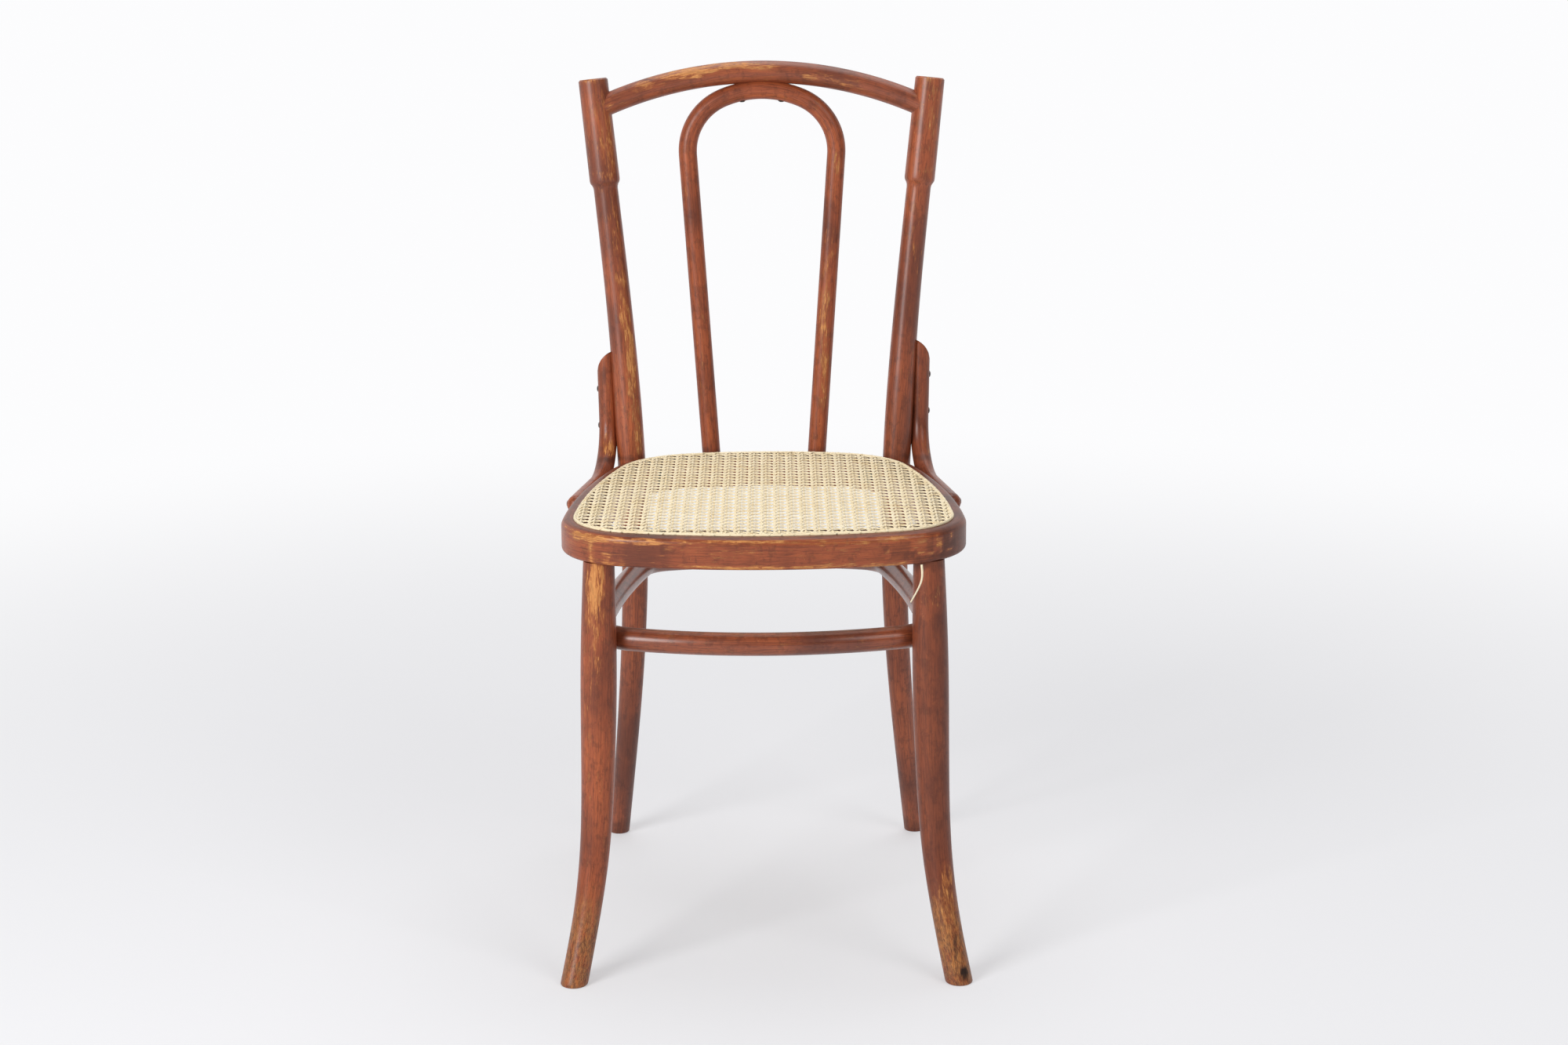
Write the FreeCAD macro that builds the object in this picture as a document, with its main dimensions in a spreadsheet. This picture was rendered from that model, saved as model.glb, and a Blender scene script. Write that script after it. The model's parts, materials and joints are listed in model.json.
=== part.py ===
"""Bentwood cafe chair with a hand-caned seat, built as its separate bent, turned and woven pieces.

The frame: origin on the floor at the middle of the chair, +X to the right as seen from the front,
-Y towards the front, +Z up, in millimetres. Pieces named right stand at +X. Pieces named left are their
mirror images, apart from the side brackets, whose tips were shaped by hand and differ.
"""
import FreeCAD
import Part

import math
import os
import re

import Sketcher
from FreeCAD import Placement, Rotation, Vector

X_AXIS = Vector(1, 0, 0)
Y_AXIS = Vector(0, 1, 0)
Z_AXIS = Vector(0, 0, 1)

# Sketcher's numbers for the origin, the vertical axis, and an arc's start, end and centre
ORIGIN = -1
UPRIGHT_AXIS = -2
START = 1
END = 2
CENTRE = 3

# Driving dimensions: name, size in millimetres or degrees, meaning
DIMENSIONS = [
    ("seat_height", 458, "top of the seat ring above the floor"),
    ("ring_height", 32, "seat ring, height of the bent section"),
    ("ring_width", 37, "seat ring, width of the bent section"),
    ("ring_top_round", 7, "rounding of the ring's outer top edge"),
    ("ring_bottom_round", 4, "rounding of the ring's outer bottom edge"),
    ("ring_inner_round", 2.5, "rounding of the ring's inner edges"),
    ("seat_front", 220.5, "seat outline, reach of the front"),
    ("seat_front_radius", 560, "seat outline, bow of the front"),
    ("seat_corner_radius", 82, "seat outline, front corners"),
    ("seat_side_x", 190, "seat outline, half width at the middle of the side"),
    ("seat_side_y", 5, "seat outline, place of the middle of the side"),
    ("seat_side_taper", 10.3, "seat outline, taper of the side towards the back"),
    ("seat_side_radius", 900, "seat outline, bow of the side"),
    ("seat_back_corner_radius", 105, "seat outline, back corners"),
    ("seat_back", 186.5, "seat outline, reach of the back"),
    ("seat_back_radius", 420, "seat outline, bow of the back"),
    ("hoop_front", 183, "leg hoop centre line, reach of the front"),
    ("hoop_front_radius", 430, "leg hoop centre line, bow of the front"),
    ("hoop_corner_radius", 48, "leg hoop centre line, front corners"),
    ("hoop_side_x", 157, "leg hoop centre line, half width at the middle of the side"),
    ("hoop_side_y", 8, "leg hoop centre line, place of the middle of the side"),
    ("hoop_side_taper", 8, "leg hoop centre line, taper of the side"),
    ("hoop_side_radius", 1200, "leg hoop centre line, bow of the side"),
    ("hoop_back_corner_radius", 36, "leg hoop centre line, back corners"),
    ("hoop_back", 170, "leg hoop centre line, reach of the back"),
    ("hoop_back_radius", 450, "leg hoop centre line, bow of the back"),
    ("hoop_height", 341, "leg hoop centre line above the floor"),
    ("hoop_diameter", 23.5, "leg hoop bar"),
    ("leg_tenon_diameter", 19, "front leg, tenon into the seat ring"),
    ("leg_tenon_length", 22, "front leg, tenon into the seat ring"),
    ("head_lean", 8.3, "lean of the turned head from upright"),
    ("head_heading", 44, "plan direction of that lean, from +X towards +Y"),
    ("head_shoulder", 8, "turned head, height of the cone under it"),
    ("head_length", 118.5, "turned head, from the neck to the top"),
    ("head_low_diameter", 32.8, "turned head, at its lower end"),
    ("head_top_diameter", 31.7, "turned head, at its top"),
    ("head_chamfer", 2.6, "turned head, chamfer round the top"),
    ("rail_diameter", 24, "top rail bar"),
    ("rail_height", 870.8, "top rail centre line above the floor, at its middle"),
    ("rail_y", 217, "top rail centre line behind the origin, at its middle"),
    ("rail_half_span", 163.5, "top rail centre line, from its middle to the heads"),
    ("rail_rise", 31.3, "top rail, rise of its middle above its ends"),
    ("rail_bow", 16, "top rail, bow of its middle behind its ends"),
    ("rail_tenon_diameter", 15, "top rail, tenons into the heads"),
    ("rail_tenon_length", 22, "top rail, tenons into the heads, with the coped shoulder"),
    ("loop_diameter", 19.9, "back loop bar"),
    ("loop_seating", 2.6, "depth that the loop is let into the top rail"),
    ("loop_top_radius", 110, "back loop centre line, top"),
    ("loop_shoulder_radius", 62, "back loop centre line, shoulders"),
    ("loop_foot_x", 56.5, "back loop centre line, half width at its feet"),
    ("loop_foot_y", 189, "back loop centre line behind the origin, at its feet"),
    ("loop_foot_z", 429, "back loop, height of its feet"),
    ("loop_splay", 3.9, "back loop, outward slope of its sides"),
    ("bracket_diameter", 20, "side bracket bar"),
    ("bracket_x", 169.3, "side bracket, corner of its bend, half width"),
    ("bracket_y", 168, "side bracket, corner of its bend, behind the origin"),
    ("bracket_z", 438.5, "side bracket, centre line of its lower arm above the floor"),
    ("bracket_heading", 10.3, "side bracket, outward turn of its lower arm"),
    ("bracket_lean", 4.2, "side bracket, backward lean of its upper arm"),
    ("bracket_tilt", 2, "side bracket, outward lean of its upper arm"),
    ("bracket_bend", 65, "side bracket, radius of its bend"),
    ("bracket_right_top_z", 581, "right side bracket, top of its upper arm"),
    ("bracket_left_top_z", 567, "left side bracket, top of its upper arm"),
    ("bracket_reach", 164, "side bracket, length of its lower arm from the corner"),
    ("bracket_end_round", 8.5, "side bracket, rounding of its lower end"),
    ("bracket_right_tip", 30, "right side bracket, rounding of its upper tip"),
    ("bracket_left_tip", 21, "left side bracket, rounding of its upper tip"),
    ("cane_inset", 12.5, "cane panel, from the ring's outer edge"),
    ("cane_thickness", 2.4, "cane panel"),
    ("cane_pitch", 19, "cane panel, from gap to gap"),
    ("cane_gap", 8.6, "cane panel, width of a gap across its flats"),
    ("cane_clear_inset", 43, "outline that the gaps stay inside, from the ring's outer edge"),
    ("binding_inset", 11.5, "cane binding, from the ring's outer edge"),
    ("binding_width", 5.4, "cane binding"),
    ("binding_thickness", 1.6, "cane binding"),
    ("strand_width", 2.5, "loose cane end"),
    ("strand_thickness", 1.1, "loose cane end"),
    ("strand_drop", 37.5, "loose cane end, drop below the ring"),
    ("screw_shank_diameter", 4, "round-head wood screws, shank"),
    ("screw_head_diameter", 8.4, "round-head wood screws, head"),
    ("screw_head_height", 2.8, "round-head wood screws, head"),
    ("bolt_diameter", 6, "seat bolts, shank"),
    ("bolt_head_diameter", 15, "seat bolts, domed head"),
    ("bolt_head_height", 4.5, "seat bolts, domed head"),
    ("nut_width", 11, "seat bolts, square nut"),
    ("nut_thickness", 5, "seat bolts, square nut"),
    ("washer_diameter", 18, "seat bolts, washer"),
    ("washer_thickness", 1.5, "seat bolts, washer"),
]

# Stations up a turned or tapered piece: name, height, half width, depth behind the origin, diameter
LEG_STATIONS = (
    ("foot", 0, 194, -230.4, 28),
    ("ankle", 66, 181, -211, 27.8),
    ("shin", 124, 173, -198, 30),
    ("calf", 200, 168.5, -188, 33.3),
    ("thigh", 320, 165.8, -179, 36.3),
    ("top", 426, 164, -173, 31.2),
)
POST_STATIONS = (
    ("foot", 0, 170, 233, 22.8),
    ("ankle", 83, 161, 205, 23.8),
    ("shin", 180, 151.8, 181, 26),
    ("knee", 320, 143.8, 163.5, 28.4),
    ("seat", 455, 145.4, 161.7, 30.4),
    ("waist", 600, 154.8, 176.5, 27.9),
    ("neck", 748, 169.5, 191.7, 26.2),
)
for piece, stations in (("leg", LEG_STATIONS), ("post", POST_STATIONS)):
    for station, height, across, back, diameter in stations:
        DIMENSIONS.append((f"{piece}_{station}_z", height, f"{piece} at its {station}, height"))
        DIMENSIONS.append((f"{piece}_{station}_x", across, f"{piece} at its {station}, half width"))
        DIMENSIONS.append((f"{piece}_{station}_y", back, f"{piece} at its {station}, depth"))
        DIMENSIONS.append((f"{piece}_{station}_d", diameter, f"{piece} at its {station}, diameter"))
NAMES = {name for name, size, meaning in DIMENSIONS}

doc = FreeCAD.newDocument("bentwood_chair")


# The sheet and the ways to read it

def make_sheet():
    """The spreadsheet of driving dimensions, one row each."""
    made = doc.addObject("Spreadsheet::Sheet", "Dimensions")
    for row, (name, size, meaning) in enumerate(DIMENSIONS, start=1):
        made.set(f"A{row}", meaning)
        made.set(f"B{row}", str(size))
        made.setAlias(f"B{row}", name)
    doc.recompute()
    return made


sheet = make_sheet()


def in_sheet(formula):
    """The formula with each dimension's name led back to the sheet."""
    return re.sub(r"\b[a-z_]+\b", lambda m: f"Dimensions.{m[0]}" if m[0] in NAMES else m[0], formula)


def number(formula):
    """What the formula comes to, as a plain number."""
    return float(sheet.evalExpression(in_sheet(formula)))


def bind(thing, prop, formula):
    """Binds a property of the thing to the formula."""
    thing.setExpression(prop, in_sheet(formula))


# Bodies and sketches

def make_body(name):
    return doc.addObject("PartDesign::Body", name)


def make_sketch(body, name, plane="XY_Plane"):
    """An empty sketch on one of the body's own origin planes."""
    sketch = body.newObject("Sketcher::SketchObject", name)
    support = [feature for feature in body.Origin.OriginFeatures if feature.Role == plane][0]
    sketch.AttachmentSupport = [(support, "")]
    sketch.MapMode = "FlatFace"
    return sketch


def shift(sketch, x="0", y="0", z="0"):
    """Moves a sketch off its plane, in the plane's own directions."""
    for axis, formula in (("x", x), ("y", y), ("z", z)):
        bind(sketch, f"AttachmentOffset.Base.{axis}", formula)


def turn(sketch, axis, formula):
    """Turns a sketch about an axis through its origin."""
    sketch.AttachmentOffset = Placement(Vector(), Rotation(axis, number(formula)))
    bind(sketch, "AttachmentOffset.Rotation.Angle", formula)


def constrain(sketch, kind, where, formula):
    """Adds a constraint whose size is bound to the formula."""
    index = sketch.addConstraint(Sketcher.Constraint(kind, *where, number(formula)))
    bind(sketch, f"Constraints[{index}]", formula)


def add_circle(sketch, diameter):
    """A circle about the sketch's origin."""
    index = sketch.addGeometry(Part.Circle(Vector(), Z_AXIS, number(diameter) / 2), False)
    sketch.addConstraint(Sketcher.Constraint("Coincident", index, CENTRE, ORIGIN, START))
    constrain(sketch, "Diameter", (index,), diameter)


def add_polygon(sketch, corners):
    """A closed run of lines through corners given as pairs of formulas."""
    places = [Vector(number(x), number(y), 0) for x, y in corners]
    first = sketch.GeometryCount
    count = len(corners)
    for index in range(count):
        sketch.addGeometry(Part.LineSegment(places[index], places[(index + 1) % count]), False)
    for index in range(count):
        following = first + (index + 1) % count
        sketch.addConstraint(Sketcher.Constraint("Coincident", first + index, END, following, START))
    for index, (x, y) in enumerate(corners):
        pin_point(sketch, first + index, START, x, y)


def pin_point(sketch, index, point, x, y):
    """Holds a point at a place that two formulas give, each measured so that it is positive."""
    for kind, formula in (("DistanceX", x), ("DistanceY", y)):
        if number(formula) < 0:
            constrain(sketch, kind, (index, point, ORIGIN, START), f"-({formula})")
        else:
            constrain(sketch, kind, (ORIGIN, START, index, point), formula)


# The rounded seat shape: front, corner, side, back corner and back, each an arc

def where_circles_meet(centre_a, radius_a, centre_b, radius_b, low):
    """The meeting point of two circles that has the lower or the higher y."""
    between = centre_b - centre_a
    distance = between.Length
    along = (distance**2 + radius_a**2 - radius_b**2) / (2 * distance)
    aside = math.sqrt(radius_a**2 - along**2)
    across = Vector(-between.y, between.x, 0) / distance
    foot = centre_a + between * (along / distance)
    pair = sorted((foot + across * aside, foot - across * aside), key=lambda place: place.y)
    return pair[0] if low else pair[1]


def outline_arcs(shape, inset):
    """The nine arcs of a seat or hoop outline from its front middle, as centre, radius, start, end."""
    size = {name: number(f"{shape}_{name}") for name in (
        "front", "front_radius", "corner_radius", "side_x", "side_y", "side_taper",
        "side_radius", "back_corner_radius", "back", "back_radius",
    )}
    taper = math.radians(size["side_taper"])
    front = Vector(0, size["front_radius"] - size["front"], 0)
    back = Vector(0, size["back"] - size["back_radius"], 0)
    side = Vector(size["side_x"], size["side_y"], 0)
    side -= Vector(math.cos(taper), math.sin(taper), 0) * size["side_radius"]
    corner = where_circles_meet(
        front, size["front_radius"] - size["corner_radius"],
        side, size["side_radius"] - size["corner_radius"], low=True,
    )
    back_corner = where_circles_meet(
        back, size["back_radius"] - size["back_corner_radius"],
        side, size["side_radius"] - size["back_corner_radius"], low=False,
    )

    def angle(towards, start):
        return math.atan2((towards - start).y, (towards - start).x)

    turns = (
        -math.pi / 2, angle(corner, front), angle(corner, side),
        angle(back_corner, side), angle(back_corner, back),
    )
    right = [
        (front, size["front_radius"], turns[0], turns[1]),
        (corner, size["corner_radius"], turns[1], turns[2]),
        (side, size["side_radius"], turns[2], turns[3]),
        (back_corner, size["back_corner_radius"], turns[3], turns[4]),
    ]
    middle = [(back, size["back_radius"], turns[4], math.pi - turns[4])]
    left = [
        (Vector(-centre.x, centre.y, 0), radius, math.pi - end, math.pi - start)
        for centre, radius, start, end in reversed(right)
    ]
    return [(centre, radius - inset, start, end) for centre, radius, start, end in right + middle + left]


def add_outline(sketch, shape, inset="0"):
    """Draws an outline set in from its driving shape, held by tangents, radii and centres."""
    first = sketch.GeometryCount
    for centre, radius, start, end in outline_arcs(shape, number(inset)):
        circle = Part.Circle(centre, Z_AXIS, radius)
        sketch.addGeometry(Part.ArcOfCircle(circle, start, end), False)
    front, corner, side, back_corner, back = range(first, first + 5)
    left_back_corner, left_side, left_corner, left_front = range(first + 5, first + 9)
    for index in range(first, left_front):
        sketch.addConstraint(Sketcher.Constraint("Tangent", index, END, index + 1, START))
    sketch.addConstraint(Sketcher.Constraint("Coincident", left_front, END, front, START))
    sketch.addConstraint(Sketcher.Constraint("Coincident", left_front, CENTRE, front, CENTRE))
    for index, point in ((front, START), (front, CENTRE), (back, CENTRE)):
        sketch.addConstraint(Sketcher.Constraint("PointOnObject", index, point, UPRIGHT_AXIS))
    radii = (
        ((front,), "front_radius"), ((corner, left_corner), "corner_radius"),
        ((side, left_side), "side_radius"),
        ((back_corner, left_back_corner), "back_corner_radius"), ((back,), "back_radius"),
    )
    for arcs, name in radii:
        for index in arcs:
            constrain(sketch, "Radius", (index,), f"{shape}_{name} - ({inset})")
    taper = f"{shape}_side_taper * 1 deg"
    inward = f"{shape}_side_radius * cos({taper}) - {shape}_side_x"
    forward = f"{shape}_side_radius * sin({taper}) - {shape}_side_y"
    constrain(sketch, "DistanceY", (ORIGIN, START, front, CENTRE), f"{shape}_front_radius - {shape}_front")
    constrain(sketch, "DistanceY", (back, CENTRE, ORIGIN, START), f"{shape}_back_radius - {shape}_back")
    constrain(sketch, "DistanceX", (side, CENTRE, ORIGIN, START), inward)
    constrain(sketch, "DistanceX", (ORIGIN, START, left_side, CENTRE), inward)
    for index in (side, left_side):
        constrain(sketch, "DistanceY", (index, CENTRE, ORIGIN, START), forward)


# Features

def pad(body, sketch, length):
    """A straight pad of the sketch, upwards."""
    feature = body.newObject("PartDesign::Pad", f"{sketch.Name}_pad")
    feature.Profile = sketch
    bind(feature, "Length", length)
    return feature


def loft(body, sections, ruled=False):
    """A loft through sketches in order, smooth or with straight sides."""
    feature = body.newObject("PartDesign::AdditiveLoft", f"{sections[0].Name}_loft")
    feature.Profile = sections[0]
    feature.Sections = sections[1:]
    feature.Ruled = ruled
    return feature


def pipe(body, section, path):
    """A section swept along a sketched path."""
    feature = body.newObject("PartDesign::AdditivePipe", f"{path.Name}_pipe")
    feature.Profile = section
    feature.Spine = (path, [""])
    return feature


def mirror(source, name):
    """The same piece at the other side of the chair."""
    made = doc.addObject("Part::Mirroring", name)
    made.Source = source
    made.Normal = X_AXIS
    return made


def group(name, pieces):
    """Separate solids that share one object."""
    made = doc.addObject("Part::Compound", name)
    made.Links = pieces
    return made


def fitted(name, blank, neighbours):
    """A piece as worked on the bench: its blank, with the seats and holes that its neighbours need."""
    made = doc.addObject("Part::Cut", name)
    made.Base = blank
    made.Tool = group(f"{name}_neighbours", neighbours)
    made.Label = name
    return made


def round_edges(body, feature, chosen, radius, name):
    """Rounds the chosen edges of the feature."""
    rounding = body.newObject("PartDesign::Fillet", name)
    names = [f"Edge{n}" for n, edge in enumerate(feature.Shape.Edges, start=1) if chosen(edge)]
    rounding.Base = (feature, names)
    bind(rounding, "Radius", radius)
    doc.recompute()
    return rounding


# Seat ring

def on_outline(edge, shape, inset, height):
    """Whether an edge lies on an outline at a height."""
    middle = edge.valueAt((edge.FirstParameter + edge.LastParameter) / 2)
    if abs(middle.z - height) > 0.01 or edge.BoundBox.ZLength > 0.01:
        return False
    arcs = outline_arcs(shape, inset)
    flat = Vector(middle.x, middle.y, 0)
    return any(abs((flat - centre).Length - radius) < 0.01 for centre, radius, start, end in arcs)


def make_ring_blank():
    """The bent ring before its mortises and holes."""
    body = make_body("ring_blank")
    sketch = make_sketch(body, "ring_plan")
    shift(sketch, z="seat_height - ring_height")
    add_outline(sketch, "seat")
    add_outline(sketch, "seat", "ring_width")
    feature = pad(body, sketch, "ring_height")
    doc.recompute()
    top = number("seat_height")
    bottom = number("seat_height - ring_height")
    width = number("ring_width")
    feature = round_edges(
        body, feature, lambda edge: on_outline(edge, "seat", 0, top), "ring_top_round", "ring_top_edge",
    )
    feature = round_edges(
        body, feature, lambda edge: on_outline(edge, "seat", 0, bottom),
        "ring_bottom_round", "ring_bottom_edge",
    )
    round_edges(
        body, feature,
        lambda edge: on_outline(edge, "seat", width, top) or on_outline(edge, "seat", width, bottom),
        "ring_inner_round", "ring_inner_edges",
    )
    return body


# Legs and posts

def station_sketch(body, piece, station):
    """A level circle round a station of a leg or post."""
    sketch = make_sketch(body, f"{piece}_{station}")
    add_circle(sketch, f"{piece}_{station}_d")
    stem = f"{piece}_{station}"
    shift(sketch, x=f"{stem}_x", y=f"{stem}_y", z=f"{stem}_z")
    return sketch


def make_leg_blank():
    """A sabre front leg with the tenon at its top."""
    body = make_body("leg_blank")
    loft(body, [station_sketch(body, "leg", station[0]) for station in LEG_STATIONS])
    tenon = make_sketch(body, "leg_tenon")
    add_circle(tenon, "leg_tenon_diameter")
    shift(tenon, x="leg_top_x", y="leg_top_y", z="leg_top_z")
    pad(body, tenon, "leg_tenon_length")
    return body


def head_axis():
    """The direction of the turned head."""
    lean = math.radians(number("head_lean"))
    heading = math.radians(number("head_heading"))
    flat = Vector(math.cos(heading), math.sin(heading), 0)
    return flat * math.sin(lean) + Z_AXIS * math.cos(lean)


def head_sketch(body, name, up, diameter):
    """A circle square to the head's axis, at a distance up from the neck."""
    sketch = make_sketch(body, name)
    add_circle(sketch, diameter)
    heading = math.radians(number("head_heading"))
    turn(sketch, Vector(-math.sin(heading), math.cos(heading), 0), "head_lean")
    sideways = f"({up}) * sin(head_lean * 1 deg)"
    shift(
        sketch,
        x=f"post_neck_x + {sideways} * cos(head_heading * 1 deg)",
        y=f"post_neck_y + {sideways} * sin(head_heading * 1 deg)",
        z=f"post_neck_z + ({up}) * cos(head_lean * 1 deg)",
    )
    return sketch


def make_post_blank():
    """A back post that runs on as the back leg, with its turned head."""
    body = make_body("post_blank")
    shaft = [station_sketch(body, "post", station[0]) for station in POST_STATIONS[:-1]]
    neck = head_sketch(body, "post_neck", "0", "post_neck_d")
    loft(body, shaft + [neck])
    levels = (
        ("head_shoulder_foot", "0", "post_neck_d"),
        ("head_low", "head_shoulder", "head_low_diameter"),
        ("head_rim", "head_length - head_chamfer", "head_top_diameter"),
        ("head_top", "head_length", "head_top_diameter - 2 * head_chamfer"),
    )
    loft(body, [head_sketch(body, *level) for level in levels], ruled=True)
    return body


# Back

def make_rail_blank():
    """The top rail bar, an arc in a plane that leans back, as long as from head axis to head axis."""
    body = make_body("rail_blank")
    sketch = make_sketch(body, "rail_section", "YZ_Plane")
    add_circle(sketch, "rail_diameter")
    sagitta = "(rail_rise^2 + rail_bow^2)"
    radius = f"((rail_half_span^2 + {sagitta}) / (2 * sqrt{sagitta}))"
    arm = Part.LineSegment(Vector(-10, -number(radius), 0), Vector(10, -number(radius), 0))
    axis = sketch.addGeometry(arm, True)
    sketch.addConstraint(Sketcher.Constraint("Symmetric", axis, START, axis, END, UPRIGHT_AXIS))
    constrain(sketch, "DistanceX", (axis, START, axis, END), "rail_diameter")
    constrain(sketch, "DistanceY", (axis, START, ORIGIN, START), radius)
    feature = body.newObject("PartDesign::Revolution", "rail_bar")
    feature.Profile = sketch
    feature.ReferenceAxis = (sketch, ["Axis0"])
    feature.Midplane = True
    bind(feature, "Angle", f"2 * asin((rail_half_span + head_low_diameter / 3) / {radius})")
    body.Placement = Placement(Vector(), Rotation(-X_AXIS, 1))
    bind(body, "Placement.Rotation.Angle", "atan(rail_bow / rail_rise)")
    bind(body, "Placement.Base.y", "rail_y")
    bind(body, "Placement.Base.z", "rail_height")
    return body


def make_rail_tenon():
    """The right tenon of the top rail, in line with the bar's end."""
    sagitta = math.hypot(number("rail_rise"), number("rail_bow"))
    span = number("rail_half_span")
    radius = (span**2 + sagitta**2) / (2 * sagitta)
    slope = math.asin(span / radius)
    lean = math.atan(number("rail_bow / rail_rise"))
    along = Vector(math.cos(slope), -math.sin(slope) * math.sin(lean), -math.sin(slope) * math.cos(lean))
    end = Vector(span, number("rail_y - rail_bow"), number("rail_height - rail_rise"))
    tenon = doc.addObject("Part::Cylinder", "rail_tenon")
    bind(tenon, "Radius", "rail_tenon_diameter / 2")
    bind(tenon, "Height", "rail_tenon_length")
    tenon.Placement = Placement(end, Rotation(Z_AXIS, along))
    return tenon


def loop_lean():
    """The lean of the loop's plane, as a formula in degrees."""
    return "atan((rail_y - loop_foot_y) / (rail_height - loop_foot_z))"


def make_loop_blank():
    """The inverted U of the back, in a leaning plane through the middle of the top rail."""
    body = make_body("loop_blank")
    path = make_sketch(body, "loop_path", "XZ_Plane")
    crown = number("loop_seating - (rail_diameter + loop_diameter) / 2")
    foot = -number(f"(rail_height - loop_foot_z) / cos({loop_lean()})")
    foot_x = number("loop_foot_x")
    splay = math.radians(number("loop_splay"))
    top_radius = number("loop_top_radius")
    shoulder_radius = number("loop_shoulder_radius")
    # The shoulder's centre lies its radius inside the side, and the radii's difference from the top's
    outward = Vector(math.cos(splay), -math.sin(splay), 0)
    upward = Vector(math.sin(splay), math.cos(splay), 0)
    top = Vector(0, crown - top_radius, 0)
    inside = Vector(foot_x, foot, 0) - outward * shoulder_radius
    reach = (top - inside).dot(upward)
    offset = (top - inside).dot(outward)
    rise = reach + math.sqrt((top_radius - shoulder_radius) ** 2 - offset**2)
    shoulder = inside + upward * rise
    turned = math.atan2((shoulder - top).y, (shoulder - top).x)
    side_start = Vector(foot_x, foot, 0)
    side_end = shoulder + outward * shoulder_radius

    def flip(place):
        return Vector(-place.x, place.y, 0)

    path.addGeometry(Part.LineSegment(side_start, side_end), False)
    for centre, radius, start, end in (
        (shoulder, shoulder_radius, -splay, turned),
        (top, top_radius, turned, math.pi - turned),
        (flip(shoulder), shoulder_radius, math.pi - turned, math.pi + splay),
    ):
        path.addGeometry(Part.ArcOfCircle(Part.Circle(centre, Z_AXIS, radius), start, end), False)
    path.addGeometry(Part.LineSegment(flip(side_end), flip(side_start)), False)
    for index in range(4):
        path.addConstraint(Sketcher.Constraint("Tangent", index, END, index + 1, START))
    path.addConstraint(Sketcher.Constraint("PointOnObject", 2, CENTRE, UPRIGHT_AXIS))
    path.addConstraint(Sketcher.Constraint("Symmetric", 0, START, 4, END, UPRIGHT_AXIS))
    path.addConstraint(Sketcher.Constraint("Equal", 1, 3))
    constrain(path, "Radius", (1,), "loop_shoulder_radius")
    constrain(path, "Radius", (2,), "loop_top_radius")
    foot_down = f"(rail_height - loop_foot_z) / cos({loop_lean()})"
    constrain(path, "DistanceX", (ORIGIN, START, 0, START), "loop_foot_x")
    constrain(path, "DistanceY", (0, START, ORIGIN, START), foot_down)
    crown_down = "(rail_diameter + loop_diameter) / 2 - loop_seating"
    constrain(path, "DistanceY", (2, CENTRE, ORIGIN, START), f"loop_top_radius + {crown_down}")
    section = make_sketch(body, "loop_section")
    add_circle(section, "loop_diameter")
    turn(section, Y_AXIS, "loop_splay")
    shift(section, x="loop_foot_x", z=f"-({foot_down})")
    pipe(body, section, path)
    body.Placement = Placement(Vector(), Rotation(-X_AXIS, 1))
    bind(body, "Placement.Rotation.Angle", loop_lean())
    bind(body, "Placement.Base.y", "rail_y")
    bind(body, "Placement.Base.z", "rail_height")
    return body


# Leg hoop

def make_hoop_blank():
    """The closed hoop that ties the four legs together from inside."""
    body = make_body("hoop_blank")
    path = make_sketch(body, "hoop_path")
    shift(path, z="hoop_height")
    add_outline(path, "hoop")
    section = make_sketch(body, "hoop_section", "YZ_Plane")
    add_circle(section, "hoop_diameter")
    shift(section, x="-hoop_front", y="hoop_height")
    pipe(body, section, path)
    return body


# Side brackets

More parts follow.
